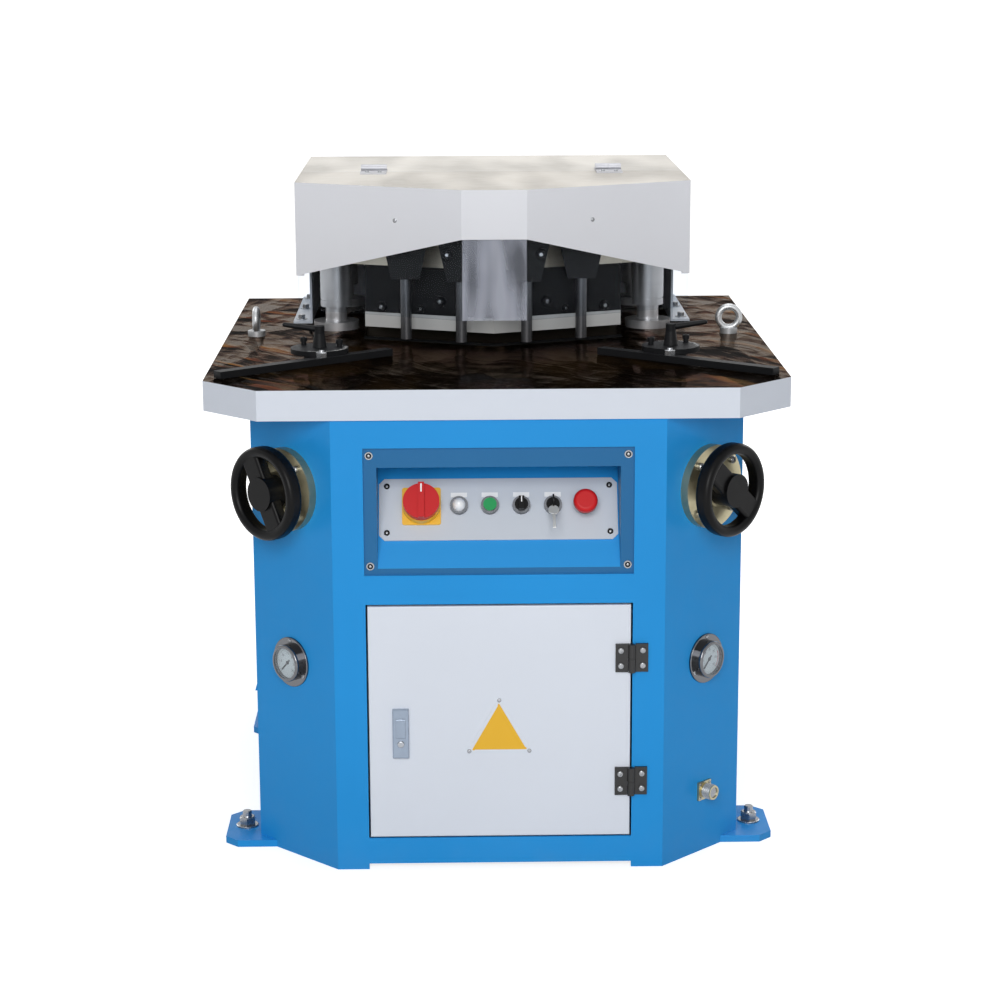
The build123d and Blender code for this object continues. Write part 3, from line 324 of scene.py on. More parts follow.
FINISH_TABLE = {
    "cabinet_enamel": Finish("cabinet", coat=0.03, relief=0.05, dust=0.1, specular=0.14),
    # The console's darker colour is painted shade on its upright faces.
    "console_enamel": Finish("console", coat=0.03, relief=0.05, specular=0.16),
    "white_enamel": Finish("white", rough=0.34, coat=0.1, relief=0.05, dust=0.06, mottle=0.02),
    # The hood finishes take painted reflection bands on their upper faces.
    "lid_enamel": Finish("hood", rough=0.34, coat=0.04, relief=0.03, mottle=0.02, specular=0.25),
    "hood_enamel": Finish("hood", rough=0.34, coat=0.04, relief=0.03, mottle=0.02, specular=0.25),
    "oiled_black_steel": Finish(
        "oxide", rough=0.46, spread=0.08, scale=20, mottle=0.15, relief=0.06, specular=0.12,
    ),
    "ground_face": Finish(
        "ground", rough=0.34, spread=0.08, metallic=0.8, scale=14, stretch=(1, 1, 10), mottle=0.06,
    ),
    "polished_steel": Finish((158, 161, 166), rough=0.16, spread=0.04, metallic=1.0, scale=8, mottle=0.03),
    "zinc_plating": Finish("plated", rough=0.34, metallic=0.9, scale=6, mottle=0.1, relief=0.01),
    "pale_sheet": Finish("plate", mottle=0.03, relief=0.04),
    "black_moulding": Finish("black", rough=0.36, mottle=0.05, specular=0.12),
    "dark_moulding": Finish("black", rough=0.45, spread=0.06, mottle=0.06),
    "grey_casting": Finish(
        (98, 102, 108), rough=0.55, spread=0.1, metallic=0.4, scale=40, mottle=0.1, relief=0.2,
    ),
    "screw_steel": Finish((150, 152, 155), rough=0.28, spread=0.06, metallic=0.95, scale=60, mottle=0.08),
    "galvanised_sheet": Finish((150, 156, 160), rough=0.45, spread=0.1, metallic=0.7, scale=25, mottle=0.2),
    "oily_casting": Finish(
        (52, 45, 37), rough=0.5, spread=0.1, metallic=0.3, scale=30, mottle=0.15, relief=0.1,
    ),
    "dull_zinc": Finish((176, 178, 180), rough=0.42, spread=0.08, metallic=0.8, scale=30, mottle=0.08),
    "blade_steel": Finish((202, 202, 200), spread=0.06, metallic=0.4, scale=14),
    "column_steel": Finish(
        (172, 172, 174), rough=0.34, spread=0.06, metallic=0.8, scale=10, stretch=(1, 1, 8),
    ),
    "rod_steel": Finish((88, 89, 92), rough=0.32, spread=0.06, metallic=0.8, scale=20, stretch=(1, 1, 8)),
    "hinge_steel": Finish((176, 177, 182), rough=0.5, spread=0.06, metallic=0.5, scale=30, mottle=0.05),
    "latch_casting": Finish((140, 152, 168), rough=0.35, spread=0.06, metallic=0.6, scale=40, mottle=0.06),
    "gauge_chrome": Finish((104, 105, 108), rough=0.12, spread=0.03, metallic=1.0, scale=8, mottle=0.03),
    "bezel_steel": Finish((96, 98, 102), rough=0.3, metallic=1.0, scale=8, mottle=0.03),
    "key_nickel": Finish((206, 206, 202), rough=0.35, metallic=0.3, scale=60),
    "red_moulding": Finish("red", rough=0.38, mottle=0.02, specular=0.2),
    "green_moulding": Finish("green", rough=0.38, mottle=0.02, specular=0.2),
    "yellow_plate": Finish("yellow", rough=0.35, mottle=0.02),
    "pale_lens": Finish((236, 238, 240), rough=0.15, mottle=0.01, coat=0.5),
    "label_white": Finish((232, 234, 236), mottle=0.01),
    "mark_white": Finish((240, 240, 240), mottle=0.01),
    "dial_white": Finish((206, 212, 210), rough=0.5, mottle=0.01),
    "dial_ink": Finish((20, 20, 22), rough=0.5, mottle=0.01),
    "dial_red": Finish((190, 40, 44), rough=0.5, mottle=0.01),
}


def finish(name):
    """A solid finish from the table: uneven colour and gloss, a fine relief and some dust."""
    if name in bpy.data.materials:
        return bpy.data.materials[name]
    look = FINISH_TABLE[name]
    named = isinstance(look.colour, str)
    colour = getattr(finishes(), look.colour) if named else linear(look.colour)
    material, tree, shader = start_material(name)
    group = add_node(
        tree, "ShaderNodeGroup",
        {"Colour": (*colour, 1), "Scale": look.scale, "Stretch": look.stretch, "Mottle": look.mottle,
         "Roughness": look.rough, "Spread": look.spread},
        node_tree=surface_group(),
    ).outputs
    base = group["Colour"]
    if look.dust:
        dust = {"Colour": base, "Dust": (*linear(DUST_COLOUR), 1), "Amount": look.dust}
        base = add_node(tree, "ShaderNodeGroup", dust, node_tree=dust_group()).outputs["Colour"]
    relief = {"Strength": look.relief, "Distance": RELIEF_DEPTH, "Height": group["Height"]}
    bump = add_node(tree, "ShaderNodeBump", relief).outputs["Normal"]
    for source, key in ((base, "Base Color"), (group["Roughness"], "Roughness"), (bump, "Normal")):
        tree.links.new(source, shader.inputs[key])
    for key, value in (
        ("Metallic", look.metallic), ("Coat Weight", look.coat), ("Coat Roughness", COAT_ROUGHNESS),
        ("Specular IOR Level", look.specular),
    ):
        shader.inputs[key].default_value = value
    return material


def repaint_upward(name, low, high, tone):
    """A finish whose faces that look up take another tone, made by a function of the tree."""
    material = finish(name)
    tree = material.node_tree
    base = tree.nodes["Principled BSDF"].inputs["Base Color"]
    painted = base.links[0].from_socket
    tree.links.new(mix_colour(tree, upward_mask(tree, low, high), painted, tone(tree)), base)
    return material


def console_paint_and_shade():
    """Console enamel with painted shade: the darker console colour on its upright faces, the cabinet colour
    on its sloping faces.
    """
    return repaint_upward("console_enamel", 0.2, 0.4, lambda tree: tuple(finishes().cabinet))


def hood_paint_and_reflection(name, dark, light):
    """Hood enamel, with soft bands of painted reflection from front to back on the shinier upper face."""

    # Painted reflection: bands between the dark and light tones.
    def bands(tree):
        place = coordinates(tree)
        cloud = noise(tree, drawn_out(tree, place, (1, 0.3, 1)), 9.0, 1.0)
        return mix_colour(tree, remap(tree, cloud, 0.38, 0.6, 0.0, 1.0), linear(dark), linear(light))

    return repaint_upward(name, 0.85, 0.95, bands)


def clear_material(name, tint, haze, reflection_streak_panel=False):
    """Clear sheet: see-through head on, mirror-like at a slant, with an even haze; a front panel can take a
    dark base with painted reflection streaks.
    """
    if name in bpy.data.materials:
        return bpy.data.materials[name]
    material, tree, shader = start_material(name)
    shader.inputs["Base Color"].default_value = (*tint, 1)
    shader.inputs["Roughness"].default_value = 0.08
    through = add_node(tree, "ShaderNodeBsdfTransparent", {"Color": (0.96, 0.98, 1.0, 1)})
    share = add_node(tree, "ShaderNodeLayerWeight", {"Blend": 0.1}).outputs["Facing"]
    if reflection_streak_panel:
        # Front panel: dark base and a streaky cloud that raises the reflecting share, painted reflection
        # streaks.
        normal = coordinates(tree, "Normal")
        facing = math_node(tree, "ABSOLUTE", axis_value(tree, normal, "Y"))
        panel = remap(tree, facing, 0.97, 0.99, 0.0, 1.0)
        place = coordinates(tree)
        cloud = noise(tree, drawn_out(tree, place, (1.0, 1.0, 0.22)), 26.0, 1.0)
        tree.links.new(mix_colour(tree, panel, linear((34, 36, 39)), tint), shader.inputs["Base Color"])
        sheen = remap(tree, cloud, 0.35, 0.62, 0.1, 0.55)
        share = math_node(tree, "ADD", share, math_node(tree, "MULTIPLY", panel, sheen))
    share = math_node(tree, "ADD", share, haze, clamp=True)
    mixed = add_node(tree, "ShaderNodeMixShader", {0: share, 1: through.outputs[0], 2: shader.outputs[0]})
    tree.links.new(mixed.outputs[0], tree.nodes["Material Output"].inputs["Surface"])
    return material


def film_material():
    """Painted table edge with a creased, glossy brown protective film over the top face; its lighter crease
    colour and golden glint lines towards the sides are painted highlights.
    """
    material, tree, shader = start_material("filmed_table")
    place = coordinates(tree)
    turned = add_node(
        tree, "ShaderNodeMapping", {"Vector": place, "Rotation": (0, 0, 0.35), "Scale": (1, 0.42, 1)}
    ).outputs[0]
    creases = noise(tree, turned, 7.0, 3.0, Distortion=0.5)
    push = add_node(tree, "ShaderNodeTexNoise", {"Vector": turned, "Scale": 4.0}).outputs["Color"]
    pushed = add_node(tree, "ShaderNodeVectorMath", {0: push, "Scale": 0.12}, operation="SCALE").outputs[0]
    bent = add_node(tree, "ShaderNodeVectorMath", {0: turned, 1: pushed}, operation="ADD").outputs[0]
    facets = add_node(tree, "ShaderNodeTexVoronoi", {"Vector": bent, "Scale": 13.0}).outputs["Distance"]
    small = add_node(tree, "ShaderNodeTexVoronoi", {"Vector": bent, "Scale": 36.0}).outputs["Distance"]
    across = math_node(tree, "ABSOLUTE", axis_value(tree, place, "X"))
    slack = remap(tree, across, 0.12, 0.4, 0.3, 1.0)
    # Painted highlight: the lighter crease colour, stronger towards the sides.
    sheen = math_node(tree, "MULTIPLY", remap(tree, creases, 0.5, 0.72, 0.0, 1.0), slack)
    drawn = add_node(
        tree, "ShaderNodeMapping", {"Vector": bent, "Rotation": (0, 0, 0.25), "Scale": (4, 30, 1)}
    ).outputs[0]
    lines = noise(tree, drawn, 1.0, 3.0, Distortion=1.2)
    # Painted highlight: thin golden glint lines on the film towards the sides, colour (176, 146, 98).
    glint_sides = remap(tree, across, 0.26, 0.4, 0.0, 1.0)
    painted_glints = math_node(tree, "MULTIPLY", remap(tree, lines, 0.55, 0.66, 0.0, 1.0), glint_sides)
    film = mix_colour(tree, sheen, tuple(finishes().film), tuple(finishes().painted_film_highlight))
    film = mix_colour(tree, painted_glints, film, linear((176, 146, 98)))
    covered = upward_mask(tree, 0.85, 0.95)
    depth = math_node(tree, "ABSOLUTE", axis_value(tree, place, "Y"))
    outside = remap(tree, math_node(tree, "MAXIMUM", across, depth), 0.38, 0.4, 0.0, 1.0)
    rim = mix_colour(tree, outside, linear((58, 54, 48)), tuple(finishes().white))
    tree.links.new(mix_colour(tree, covered, rim, film), shader.inputs["Base Color"])
    tree.links.new(remap(tree, covered, 0.0, 1.0, 0.36, 0.18), shader.inputs["Roughness"])
    tree.links.new(remap(tree, covered, 0.0, 1.0, 0.0, 0.85), shader.inputs["Metallic"])
    shader.inputs["Specular Tint"].default_value = (*linear((132, 106, 76)), 1)
    shader.inputs["Specular IOR Level"].default_value = 0.06
    folds = math_node(tree, "MULTIPLY_ADD", small, 0.22)
    tree.links.new(facets, folds.node.inputs[2])
    relief = math_node(tree, "ADD", folds, math_node(tree, "MULTIPLY", creases, 0.5))
    relief = math_node(tree, "ADD", relief, math_node(tree, "MULTIPLY", lines, 0.35))
    masked = math_node(tree, "MULTIPLY", math_node(tree, "MULTIPLY", relief, covered), slack)
    bump = add_node(tree, "ShaderNodeBump", {"Strength": 0.7, "Distance": 0.02, "Height": masked})
    tree.links.new(bump.outputs["Normal"], shader.inputs["Normal"])
    return material


def paint_nodes(material, *names):
    """Give CAD nodes a finished material."""
    for name in names:
        for slot in nodes[name].material_slots:
            slot.material = material


def polar(shape, radius, angle):
    """Distance from the axis to a ring's outline at an angle."""
    if shape == "hex":
        return radius / math.cos((angle + math.pi / 6) % (math.pi / 3) - math.pi / 6)
    if shape == "cross":
        arm = radius * 0.32
        c = max(abs(math.cos(angle)), TINY)
        s = max(abs(math.sin(angle)), TINY)
        return max(min(radius / c, arm / s), min(arm / c, radius / s))
    return radius


def close_loops(bm, loops):
    """Faces between neighbouring loops and over both ends."""
    count = len(loops[0])
    for lower, upper in zip(loops, loops[1:]):
        for step in range(count):
            after = (step + 1) % count
            bm.faces.new((lower[step], lower[after], upper[after], upper[step]))
    bm.faces.new(list(reversed(loops[0])))
    bm.faces.new(loops[-1])


def ring_solid(bm, matrix, rings, steps=ROUND_STEPS):
    """Closed solid through rings of (radius, height, shape), from its foot to the bottom of its recess."""
    loops = []
    for ring in rings:
        radius, height = ring[:2]
        shape = ring[2] if len(ring) > 2 else "round"
        loop = []
        for step in range(steps):
            angle = 2 * math.pi * step / steps
            reach = polar(shape, radius, angle)
            point = Vector((reach * math.cos(angle), reach * math.sin(angle), height))
            loop.append(bm.verts.new(matrix @ point))
        loops.append(loop)
    close_loops(bm, loops)


def plate_solid(bm, matrix, outline, low, high, bevel=0.0):
    """Plate over an outline in plan, with a small chamfer round its upper face."""
    middle = sum((Vector((x, y)) for x, y in outline), Vector((0, 0))) / len(outline)
    levels = [(low, 0.0), (high - bevel, 0.0), (high, bevel)] if bevel else [(low, 0.0), (high, 0.0)]
    loops = []
    for height, inset in levels:
        loop = []
        for x, y in outline:
            inward = (middle - Vector((x, y))).normalized() * inset
            loop.append(bm.verts.new(matrix @ Vector((x + inward.x, y + inward.y, height))))
        loops.append(loop)
    close_loops(bm, loops)


def rectangle(width, height):
    """Corners of a rectangle about the origin."""
    x, y = width / 2, height / 2
    return [(-x, -y), (x, -y), (x, y), (-x, y)]


def text_solid(bm, matrix, words, size):
    """Thin solid figures about their plane, centred on the origin."""
    curve = bpy.data.curves.new("figures", "FONT")
    curve.body = words
    curve.size = size
    curve.align_x = "CENTER"
    curve.align_y = "CENTER"
    curve.resolution_u = 3
    curve.extrude = TINY / 8
    holder = bpy.data.objects.new("figures", curve)
    bpy.context.scene.collection.objects.link(holder)
    bpy.context.view_layer.update()
    mesh = bpy.data.meshes.new_from_object(holder.evaluated_get(bpy.context.evaluated_depsgraph_get()))
    mesh.transform(matrix)
    bm.from_mesh(mesh)
    bpy.data.objects.remove(holder)
    bpy.data.curves.remove(curve)
    bpy.data.meshes.remove(mesh)


SUNK = None
FASTENER_RINGS = {
    "cap_screw": (
        (1, SUNK), (1, 0.968), (0.9, 1.1), (0.62, 1.1), (0.5, 1.067, "hex"), (0.48, 0.44, "hex"),
    ),
    "socket_floor": ((0.4, 0.4), (0.4, 0.7), (0.3, 0.75)),
    "panel_screw": (
        (1, SUNK), (1, 0.1925), (0.9, 0.4125), (0.66, 0.55), (0.5, 0.572, "cross"), (0.42, 0.2475, "cross"),
    ),
    "washer": ((1, SUNK), (1, 0.16), (0.94, 0.22)),
    "low_screw": (
        (1, SUNK), (1, 0.4), (0.85, 0.62), (0.6, 0.64), (0.5, 0.62, "hex"), (0.48, 0.3, "hex"),
    ),
    "low_socket": ((0.42, 0.28), (0.42, 0.4), (0.3, 0.44)),
    "pointer_nut": (
        (1, SUNK, "hex"), (1, 0.9, "hex"), (0.9, 1), (0.55, 1), (0.5, 1.3), (0.4, 1.35),
    ),
    "rivet": ((1, SUNK), (0.95, 0.2), (0.7, 0.42), (0.3, 0.52)),
}


def fastener(kind):
    """Builder of a plain fastener; its rings are shares of its radius, the sunk ones just below its seat."""

    def build(bm, matrix, radius):
        ring_solid(bm, matrix, [
            (share * radius, -TINY if rise is SUNK else rise * radius, *shape)
            for share, rise, *shape in FASTENER_RINGS[kind]
        ])

    return build


def hex_bolt(bm, matrix, half):
    """Hexagon head on a washer."""
    foot = half * 0.22
    ring_solid(bm, matrix, [(half * 1.7, -TINY), (half * 1.7, foot * 0.8), (half * 1.6, foot)])
    ring_solid(bm, matrix, [
        (half, foot - TINY, "hex"), (half, foot + half * 1.1, "hex"), (half * 0.92, foot + half * 1.22),
    ])


def anchor_nut(bm, matrix, half):
    """Nut, washer and stud end of a floor anchor."""
    foot = half * 0.22
    stud = half * 0.6
    ring_solid(bm, matrix, [(half * 1.5, -TINY), (half * 1.5, foot * 0.8), (half * 1.42, foot)])
    ring_solid(bm, matrix, [
        (half, foot - TINY, "hex"), (half, foot + half * 0.95, "hex"), (half * 0.9, foot + half * 1.1),
        (stud * 1.08, foot + half * 1.1), (stud, foot + half * 1.2), (stud, foot + half * 1.8),
        (stud * 0.85, foot + half * 1.9),
    ])


def fence_screw(bm, matrix, radius):
    """Cap screw standing on a collar."""
    ring_solid(bm, matrix, [(radius * 0.75, -TINY), (radius * 0.75, radius * 0.9), (radius * 0.7, radius)])
    fastener("cap_screw")(bm, matrix @ shift(0, 0, radius * 0.95), radius)


def add_piece(name, body, material, build):
    """A mesh piece made by a build function, riding on a body."""
    bm = bmesh.new()
    build(bm)
    bmesh.ops.recalc_face_normals(bm, faces=bm.faces)
    mesh = bpy.data.meshes.new(name)
    bm.to_mesh(mesh)
    bm.free()
    mesh.materials.append(material)
    piece = bpy.data.objects.new(name, mesh)
    bpy.context.scene.collection.objects.link(piece)
    for polygon in mesh.polygons:
        polygon.use_smooth = False
    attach(piece, body)


def add_screws(name, body, places, build, size, look="screw_steel", slot="bright_steel"):
    """One piece holding a set of like screws at their matrices."""

    def fill(bm):
        for place in places:
            build(bm, place, size)

    add_piece(name, body, finish(look), fill)


def on_front(x, z, y):
    """Matrix of a place on a face that looks to the front."""
    return Matrix.Translation((x, y, z)) @ Matrix.Rotation(math.pi / 2, 4, "X")


def on_chamfer(side, z):
    """Matrix on a chamfered cabinet face, its Z pointing out of the face."""
    reach = CHAMFER_PLACE * math.cos(math.pi / 4)
    x_axis = Vector((1, side, 0)).normalized()
    z_axis = Vector((side, -1, 0)).normalized()
    y_axis = z_axis.cross(x_axis)
    matrix = Matrix((x_axis, y_axis, z_axis)).transposed().to_4x4()
    matrix.translation = (side * (FACE_HALF + reach), FACE_FRONT + reach, z)
    return matrix


def on_panel(across, up, above=0.0):
    """Matrix on the upper face of the control plate, from its middle."""
    middle = (PLATE_LOW + PLATE_HIGH) / 2
    normal = Vector((0, -math.cos(PANEL_TILT), math.sin(PANEL_TILT)))
    y_axis = Vector((0, math.sin(PANEL_TILT), math.cos(PANEL_TILT)))
    x_axis = Vector((1, 0, 0))
    matrix = Matrix((x_axis, y_axis, normal)).transposed().to_4x4()
    matrix.translation = middle + x_axis * across + y_axis * up + normal * (PLATE_RISE + above)
    return matrix


def spin(angle):
    """Turn about the local Z axis, in degrees."""
    return Matrix.Rotation(math.radians(angle), 4, "Z")


def shift(x, y, z=0.0):
    """Local move."""
    return Matrix.Translation((x, y, z))


class NOTCHER_OT_cabinet(bpy.types.Operator):
    """Paint the cabinet and add its floor anchors and cover screws"""

    bl_idname = "notcher.cabinet"
    bl_label = "Cabinet"

    def execute(self, context):
        paint_nodes(
            finish("cabinet_enamel"), "front_sheet", "left_side_sheet", "right_side_sheet", "rear_sheet",
            "rear_cover", "foot_plates",
        )
        paint_nodes(finish("galvanised_sheet"), "floor_plate", "mounting_plate")
        paint_nodes(finish("grey_casting"), "press_cylinder", "oil_tank", "pump_motor")
        paint_nodes(finish("oily_casting"), "die_bed")
        paint_nodes(finish("pale_sheet"), "electrical_box")
        low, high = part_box("foot_plates")
        inset = 0.033
        reach = 0.075
        places = []
        for x in (low.x + inset, high.x - inset):
            for y in (low.y + reach, high.y - reach):
                places.append(Matrix.Translation((x, y, FOOT_TOP)))
        add_screws("floor_anchors", "cabinet", places, anchor_nut, fittings().bolt)
        low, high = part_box("rear_cover")
        margin = 0.013
        back = Matrix.Rotation(-math.pi / 2, 4, "X")
        places = [
            Matrix.Translation((x, high.y, z)) @ back
            for x in (low.x + margin, 0, high.x - margin) for z in (low.z + margin, high.z - margin)
        ]
        add_screws("rear_cover_screws", "cabinet", places, fastener("panel_screw"), fittings().screw)
        return {"FINISHED"}


class NOTCHER_OT_table(bpy.types.Operator):
    """Cover the table with its film and finish the eyebolts"""

    bl_idname = "notcher.table"
    bl_label = "Table"

    def execute(self, context):
        paint_nodes(film_material(), "table_plate")
        paint_nodes(finish("dull_zinc"), "eyebolts")
        paint_nodes(finish("oiled_black_steel"), "lower_blades")
        return {"FINISHED"}


class NOTCHER_OT_press(bpy.types.Operator):
    """Finish the press head and add its tool screws"""

    bl_idname = "notcher.press"
    bl_label = "Press head"

    def execute(self, context):
        paint_nodes(finish("oiled_black_steel"), "upper_carriers", "rod_housings")
        paint_nodes(finish("ground_face"), "ram", "piston_rod")
        paint_nodes(finish("blade_steel"), "upper_blades")
        paint_nodes(finish("column_steel"), "guide_columns", "guide_bushes")
        paint_nodes(finish("rod_steel"), "hold_down_rods")
        slope = math.radians(22.5)
        tip_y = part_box("upper_carriers")[0].y
        housing_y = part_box("rod_housings")[0].y
        size = fittings().cap_screw
        small_share = 0.72
        carrier_places = (
            ("carrier_screws", 0.2015, 0.876), ("small_carrier_screws", 0.13, 0.8755),
            ("carrier_screws", 0.0945, 0.891),
        )
        housing_x, housing_z = 0.083, 0.985
        heads = {"carrier_screws": (size, []), "small_carrier_screws": (size * small_share, [])}
        for side in (-1, 1):
            turn = Matrix.Rotation(side * slope, 4, "Z") @ Matrix.Rotation(math.pi / 2, 4, "X")
            for name, x, z in carrier_places:
                heads[name][1].append(Matrix.Translation((side * x, tip_y + x * math.tan(slope), z)) @ turn)
            heads["carrier_screws"][1].append(on_front(side * housing_x, housing_z, housing_y))
        for name, (radius, places) in heads.items():
            add_screws(name, "ram", places, fastener("cap_screw"), radius, *BLACK)
            add_screws(f"{name}_sockets", "ram", places, fastener("socket_floor"), radius)
        return {"FINISHED"}


class NOTCHER_OT_hood(bpy.types.Operator):
    """Finish the hood, guard, supports and hinges and add their screws"""

    bl_idname = "notcher.hood"
    bl_label = "Hood"

    def execute(self, context):
        # The tone pairs are painted reflection on the hood's glossy upper faces.
        paint_nodes(hood_paint_and_reflection("lid_enamel", (176, 170, 160), (212, 206, 196)), "hood_lid")
        paint_nodes(hood_paint_and_reflection("hood_enamel", (186, 181, 172), (222, 217, 208)), "hood_rear")
        paint_nodes(finish("pale_sheet"), "hood_supports")
        paint_nodes(finish("hinge_steel"), "hood_hinge_fixed", "hood_hinge_moving")
        # The guard's front panel carries painted reflection streaks.
        paint_nodes(clear_material("clear_guard", linear((196, 200, 214)), 0.02, True), "hood_guard")
        screw = fittings().screw
        leaf_thickness, leaf_edge = 0.003, 0.012
        leaf_steps = (0.012, 0.036)
        flange_inset, flange_sheet, flange_end = 0.014, 0.004, 0.03
        lid_run, lid_fall = 0.297, 0.153
        lid_x, lid_y, lid_z = 0.1735, TABLE_FRONT + 0.416, 1.0455
        bolt_share, lid_share = 1.5, 0.9
        top = HOOD_TOP + leaf_thickness
        for node, body, sign in (("hood_hinge_fixed", "cabinet", 1), ("hood_hinge_moving", "lid", -1)):
            low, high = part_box(node)
            edge = high.y if sign > 0 else low.y
            places = []
            for end in (low.x, high.x):
                inward = -1 if end > 0 else 1
                for step in leaf_steps:
                    places.append(Matrix.Translation((end + inward * step, edge - sign * leaf_edge, top)))
            add_screws(f"{node}_screws", body, places, fastener("panel_screw"), screw)
        low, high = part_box("hood_supports")
        places = [
            Matrix.Translation((side * (high.x - flange_inset), y, TABLE_TOP + flange_sheet))
            for side in (-1, 1) for y in (low.y + flange_end, (low.y + high.y) / 2, high.y - flange_end)
        ]
        add_screws("support_bolts", "cabinet", places, hex_bolt, screw * bolt_share)
        places = []
        for side in (-1, 1):
            slant = side * math.atan2(lid_fall, lid_run)
            at = Matrix.Translation((side * lid_x, lid_y, lid_z))
            places.append(at @ Matrix.Rotation(slant, 4, "Z") @ Matrix.Rotation(math.pi / 2, 4, "X"))
        add_screws("lid_screws", "lid", places, fastener("panel_screw"), screw * lid_share)
        return {"FINISHED"}


class NOTCHER_OT_door(bpy.types.Operator):
    """Finish the door, hinges and latch and add the triangle plate and screws"""

    bl_idname = "notcher.door"
    bl_label = "Door"

    def execute(self, context):
        paint_nodes(finish("white_enamel"), "door")
        paint_nodes(finish("dark_moulding"), "door_hinge_fixed", "door_hinge_moving", "switchgear")
        paint_nodes(finish("latch_casting"), "latch_body", "latch_paddle")
        paint_nodes(finish("polished_steel"), "latch_button")
        size = fittings()
        leaf_thickness, leaf_edge = 0.005, 0.009
        near, far = 0.011, 0.037
        hinge_share = 1.2
        for node, body in (("door_hinge_fixed", "cabinet"), ("door_hinge_moving", "door")):
            low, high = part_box(node)
            outer = high.x - leaf_edge if body == "cabinet" else low.x + leaf_edge
            leaf = (FACE_FRONT if body == "cabinet" else DOOR_FACE) - leaf_thickness
            heights = (low.z + near, low.z + far, high.z - far, high.z - near)
            places = [on_front(outer, z, leaf) for z in heights]
            add_screws(f"{node}_screws", body, places, fastener("panel_screw"), size.screw * hinge_share)

        half, tall, foot = size.triangle_half, size.triangle_height, size.triangle_bottom
        corners = [(-half, foot), (half, foot), (0, foot + tall)]
        centre = Vector((0, foot + tall / 3))
        backing_radius, backing_top, backing_bevel = 0.005, 0.001, 0.0004
        plate_share, plate_radius = 0.86, 0.0025
        plate_low, plate_top, plate_bevel = 0.0009, 0.0016, 0.0002
        rivet_radius = 0.0036
        offset = -0.001

        def rounded(scale_share, radius):
            """Triangle about its centre with corners rounded in steps of 15 degrees."""
            outline = []
            for number, (x, z) in enumerate(corners):
                inner = centre + (Vector((x, z)) - centre) * scale_share
                start = -150 + number * 120
                for step in range(9):
                    angle = math.radians(start + step * 15)
                    x, y = radius * math.cos(angle), radius * math.sin(angle)
                    outline.append((inner.x + x, inner.y + y - foot))
            return outline

        at = on_front(offset, foot, DOOR_FACE)
        add_piece(
            "triangle_backing", "door", finish("white_enamel"),
            lambda bm: plate_solid(bm, at, rounded(1.0, backing_radius), -TINY, backing_top, backing_bevel),
        )
        add_piece(
            "triangle_plate", "door", finish("yellow_plate"),
            lambda bm: plate_solid(
                bm, at, rounded(plate_share, plate_radius), plate_low, plate_top, plate_bevel
            ),
        )
        places = [at @ shift(x, z - foot, backing_top) for x, z in corners]
        add_screws("triangle_rivets", "door", places, fastener("rivet"), rivet_radius)
        return {"FINISHED"}


class NOTCHER_OT_console(bpy.types.Operator):
    """Finish the console, its plate and its controls and add their screws"""

    bl_idname = "notcher.console"
    bl_label = "Console"

    def execute(self, context):
        # The console's upright faces take painted shade.
        paint_nodes(console_paint_and_shade(), "console")
        paint_nodes(finish("pale_sheet"), "control_plate")
        paint_nodes(finish("bezel_steel"), "bezels")
        paint_nodes(finish("red_moulding"), "stop_button", "switch_knob")
        paint_nodes(finish("green_moulding"), "start_button")
        paint_nodes(finish("yellow_plate"), "switch_plate")
        paint_nodes(finish("black_moulding"), "selector", "key_switch")
        paint_nodes(finish("pale_lens"), "pilot_lamp")
        screw = fittings().screw
        low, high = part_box("console")
        edge, low_inset, high_inset = 0.019, 0.024, 0.022
        washer_share, console_share, plate_share = 1.6, 1.1, 1.15
        plate_across, plate_up = 0.184, 0.04
        places = [
            on_front(side * (high.x - edge), z, low.y)
            for side in (-1, 1) for z in (low.z + low_inset, high.z - high_inset)
        ]
        add_screws("console_washers", "cabinet", places, fastener("washer"), screw * washer_share)
        add_screws("console_screws", "cabinet", places, fastener("low_screw"), screw * console_share, *BLACK)
        add_screws("console_sockets", "cabinet", places, fastener("low_socket"), screw * console_share)
        places = [on_panel(side * plate_across, up) for side in (-1, 1) for up in (-plate_up, plate_up)]
        add_screws("plate_screws", "cabinet", places, fastener("low_screw"), screw * plate_share, *BLACK)
        add_screws("plate_sockets", "cabinet", places, fastener("low_socket"), screw * plate_share)
        label_up, label_top, label_bevel = CONTROL_RISE + 0.0195, 0.0006, 0.0002
        label = rectangle(0.027, 0.008)
        mark_top = 0.0003

        def labels(bm):
            for across in (LAMP_PLACE, START_PLACE, SELECTOR_PLACE, KEY_PLACE):
                plate_solid(bm, on_panel(across, label_up), label, -TINY, label_top, label_bevel)

        add_piece("label_plates", "cabinet", finish("label_white"), labels)
        for name, body, across, up, above, width, length in (
            ("selector_mark", "selector", SELECTOR_PLACE, 0.0055, 0.023, 0.0016, 0.01),
            ("knob_mark", "switch_knob", SWITCH_PLACE, 0.02, 0.0423, 0.0025, 0.014),
        ):
            at = on_panel(across, CONTROL_RISE + up, above)
            add_piece(
                name, body, finish("mark_white"),
                lambda bm: plate_solid(bm, at, rectangle(width, length), -TINY, mark_top),
            )

        key_drop, key_above, key_lean = 0.008, 0.0283, math.radians(-30)
        bow_half, bow_tall, bow_drop, bow_top, bow_bevel = 0.009, 0.0105, 0.012, 0.002, 0.0004
        shank_drop, shank_low, shank_top, shank_bevel = 0.037, 0.0002, 0.0018, 0.0003
        shank = rectangle(0.0052, 0.034)

        def spare_key(bm):
            at = on_panel(KEY_PLACE, CONTROL_RISE - key_drop, key_above) @ Matrix.Rotation(key_lean, 4, "X")
            turns = [math.radians(15 * number) for number in range(24)]
            bow = [(bow_half * math.cos(turn), bow_tall * math.sin(turn) - bow_drop) for turn in turns]
            plate_solid(bm, at, bow, 0, bow_top, bow_bevel)
            plate_solid(bm, at @ shift(0, -shank_drop), shank, shank_low, shank_top, shank_bevel)

        add_piece("spare_key", "key_switch", finish("key_nickel"), spare_key)
        return {"FINISHED"}


